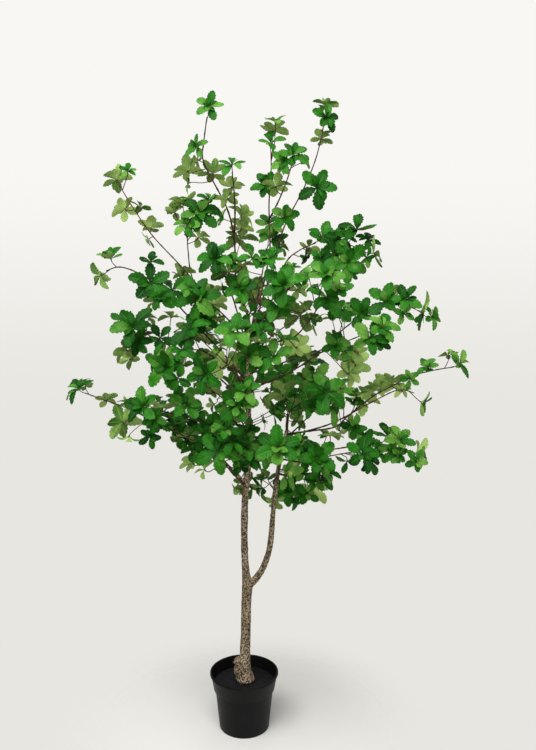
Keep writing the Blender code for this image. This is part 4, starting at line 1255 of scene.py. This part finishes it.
def pourFill(material):
    # The filling's crust, a fine disc that swells a little round the trunk and is rough on top
    inner = potSize["wall"] + fillSize["gap"]
    low = potSize["floor"] + potSize["footRing"] + fillSize["gap"]
    reach = potWall(fillTop) - inner - 0.001
    shares = [i / gritLook["rings"] for i in range(gritLook["rings"] + 1)]
    profile = [(reach * share, fillTop + fillSize["swell"] * (1 - share ** 2)) for share in shares]
    profile += [(potWall(potShoulder) - inner - 0.0002, potShoulder - 0.002),
                (potSize["foot"] - inner - 0.0006, low), (0.0, low)]
    fill = spunObject("fill_crust", profile, gritLook["steps"], material)
    crust = fill.vertex_groups.new(name="crust")
    onTop = [p.index for p in fill.data.vertices
             if p.co.z > fillTop - 0.0005 and p.co.xy.length < reach - 0.002]
    crust.add(onTop, 1.0, "REPLACE")
    roughen(fill, gritLook["lump"], gritLook["rough"], direction="Z", vertex_group="crust")
    bpy.ops.object.shade_smooth_by_angle(angle=gritLook["smooth"])
    return fill


stageLook = dict(
    top=colour(248, 247, 243), low=colour(231, 230, 225), horizon=(-0.20, 0.12), ambient=0.30,
    floor=0.70, reach=3.4, fade=(0.15, 0.60),
    lamps=dict(
        key_light=dict(place=(-0.7, -1.7, 3.9), aim=(0.0, 0.0, 0.9), size=3.0, power=185.0),
        fill_light=dict(place=(1.5, -2.9, 1.0), aim=(0.0, 0.0, 1.1), size=2.0, power=44.0),
        back_light=dict(place=(0.6, 2.6, 3.2), aim=(0.0, 0.0, 1.2), size=1.8, power=12.0),
    ),
)


def layFloor():
    # A pale floor that fades into the backdrop's tone, so that no edge shows from any side
    floor = started("studio_floor", bpy.ops.mesh.primitive_circle_add,
                    vertices=96, radius=stageLook["reach"], fill_type="NGON")
    material, wire, shader = startMaterial("floorPaper", Specular_IOR_Level=0.0, Roughness=1.0)
    tone = stageLook["floor"]
    shader.inputs["Base Color"].default_value = (tone, tone * 0.992, tone * 0.95, 1.0)
    place = wire.place()
    radius = wire.make("ShaderNodeVectorMath", dict(operation="LENGTH"), {0: place}, 1)
    fade = radius.rising(*stageLook["fade"])
    clear = wire.make("ShaderNodeBsdfTransparent")
    mixed = wire.make("ShaderNodeMixShader", None, {0: fade, 1: Wire(wire.tree, shader.outputs[0]), 2: clear})
    wire.tree.links.new(mixed.socket, wire.tree.nodes["Material Output"].inputs["Surface"])
    floor.data.materials.append(material)


def hangBackdrop():
    # The backdrop is the world: paler above, with its own weaker share of the light
    world = bpy.data.worlds.new("studio")
    bpy.context.scene.world = world
    world.use_nodes = True
    wire = Wire(world.node_tree)
    ray = wire.make("ShaderNodeTexCoord", output=0)
    split = wire.make("ShaderNodeSeparateXYZ", None, {"Vector": ray}, 2)
    seen = split.rising(*stageLook["horizon"]).blend(stageLook["low"], stageLook["top"])
    camera = wire.make("ShaderNodeLightPath")
    light = wire.make("ShaderNodeBackground", None,
                      {"Color": (1.0, 0.99, 0.97, 1.0), "Strength": stageLook["ambient"]})
    shown = wire.make("ShaderNodeBackground", None, {"Color": seen, "Strength": 1.0})
    mixed = wire.make("ShaderNodeMixShader", None, {0: camera, 1: light, 2: shown})
    wire.tree.links.new(mixed.socket, wire.tree.nodes["World Output"].inputs["Surface"])


def hangLight(name, place, aim, size, power):
    lamp = bpy.data.lights.new(name, "AREA")
    lamp.shape = "DISK"
    lamp.size = size
    lamp.energy = power
    holder = linked(name, lamp)
    holder.location = place
    holder.rotation_euler = (Vector(aim) - Vector(place)).to_track_quat("-Z", "Y").to_euler()


def setCamera():
    lens = bpy.data.cameras.new("front_view")
    lens.sensor_fit = "VERTICAL"
    lens.sensor_height = 36.0
    lens.lens = view["focal"] / view["height"] * lens.sensor_height
    lens.clip_start = 0.05
    camera = linked("front_view", lens)
    camera.location = view["eye"]
    camera.rotation_euler = (math.radians(90) - view["tilt"], 0, 0)
    bpy.context.scene.camera = camera


def settle(piece, node):
    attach(piece, "root")
    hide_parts(node)


def main():
    bpy.context.scene.view_settings.view_transform = "Standard"
    setCamera()
    print("planning the sprays")
    foot = viewPoint(*footSpot, 0.0)
    pegCentre = Vector((foot.x, foot.y, 0))
    stems, whorls = planSprays(woodTrees(pegCentre))
    print("whorls:", sum(len(row) for row in whorls.values()))

    twigBark = twigMaterial()
    leafSides = [leafTopMaterial(), leafUnderMaterial()]
    patterns = {kind: patternLeaf(kind, leafSides) for kind in leafShape["kinds"]}
    bud = patternBud(twigBark)
    print("dressing the sprays")
    for name in sprays:
        settle(dressSpray(name, stems[name], whorls[name], patterns, bud, twigBark), name)
    for pattern in list(patterns.values()) + [bud]:
        bpy.data.objects.remove(pattern, do_unlink=True)

    print("trunk, pot and filling")
    settle(growTrunk(pegCentre, barkMaterial()), "trunk")
    settle(throwPot(plasticMaterial()), "pot")
    settle(pourFill(gritMaterial()), "fill")

    print("floor, backdrop and light")
    layFloor()
    hangBackdrop()
    for name, lamp in stageLook["lamps"].items():
        hangLight(name, **lamp)


main()
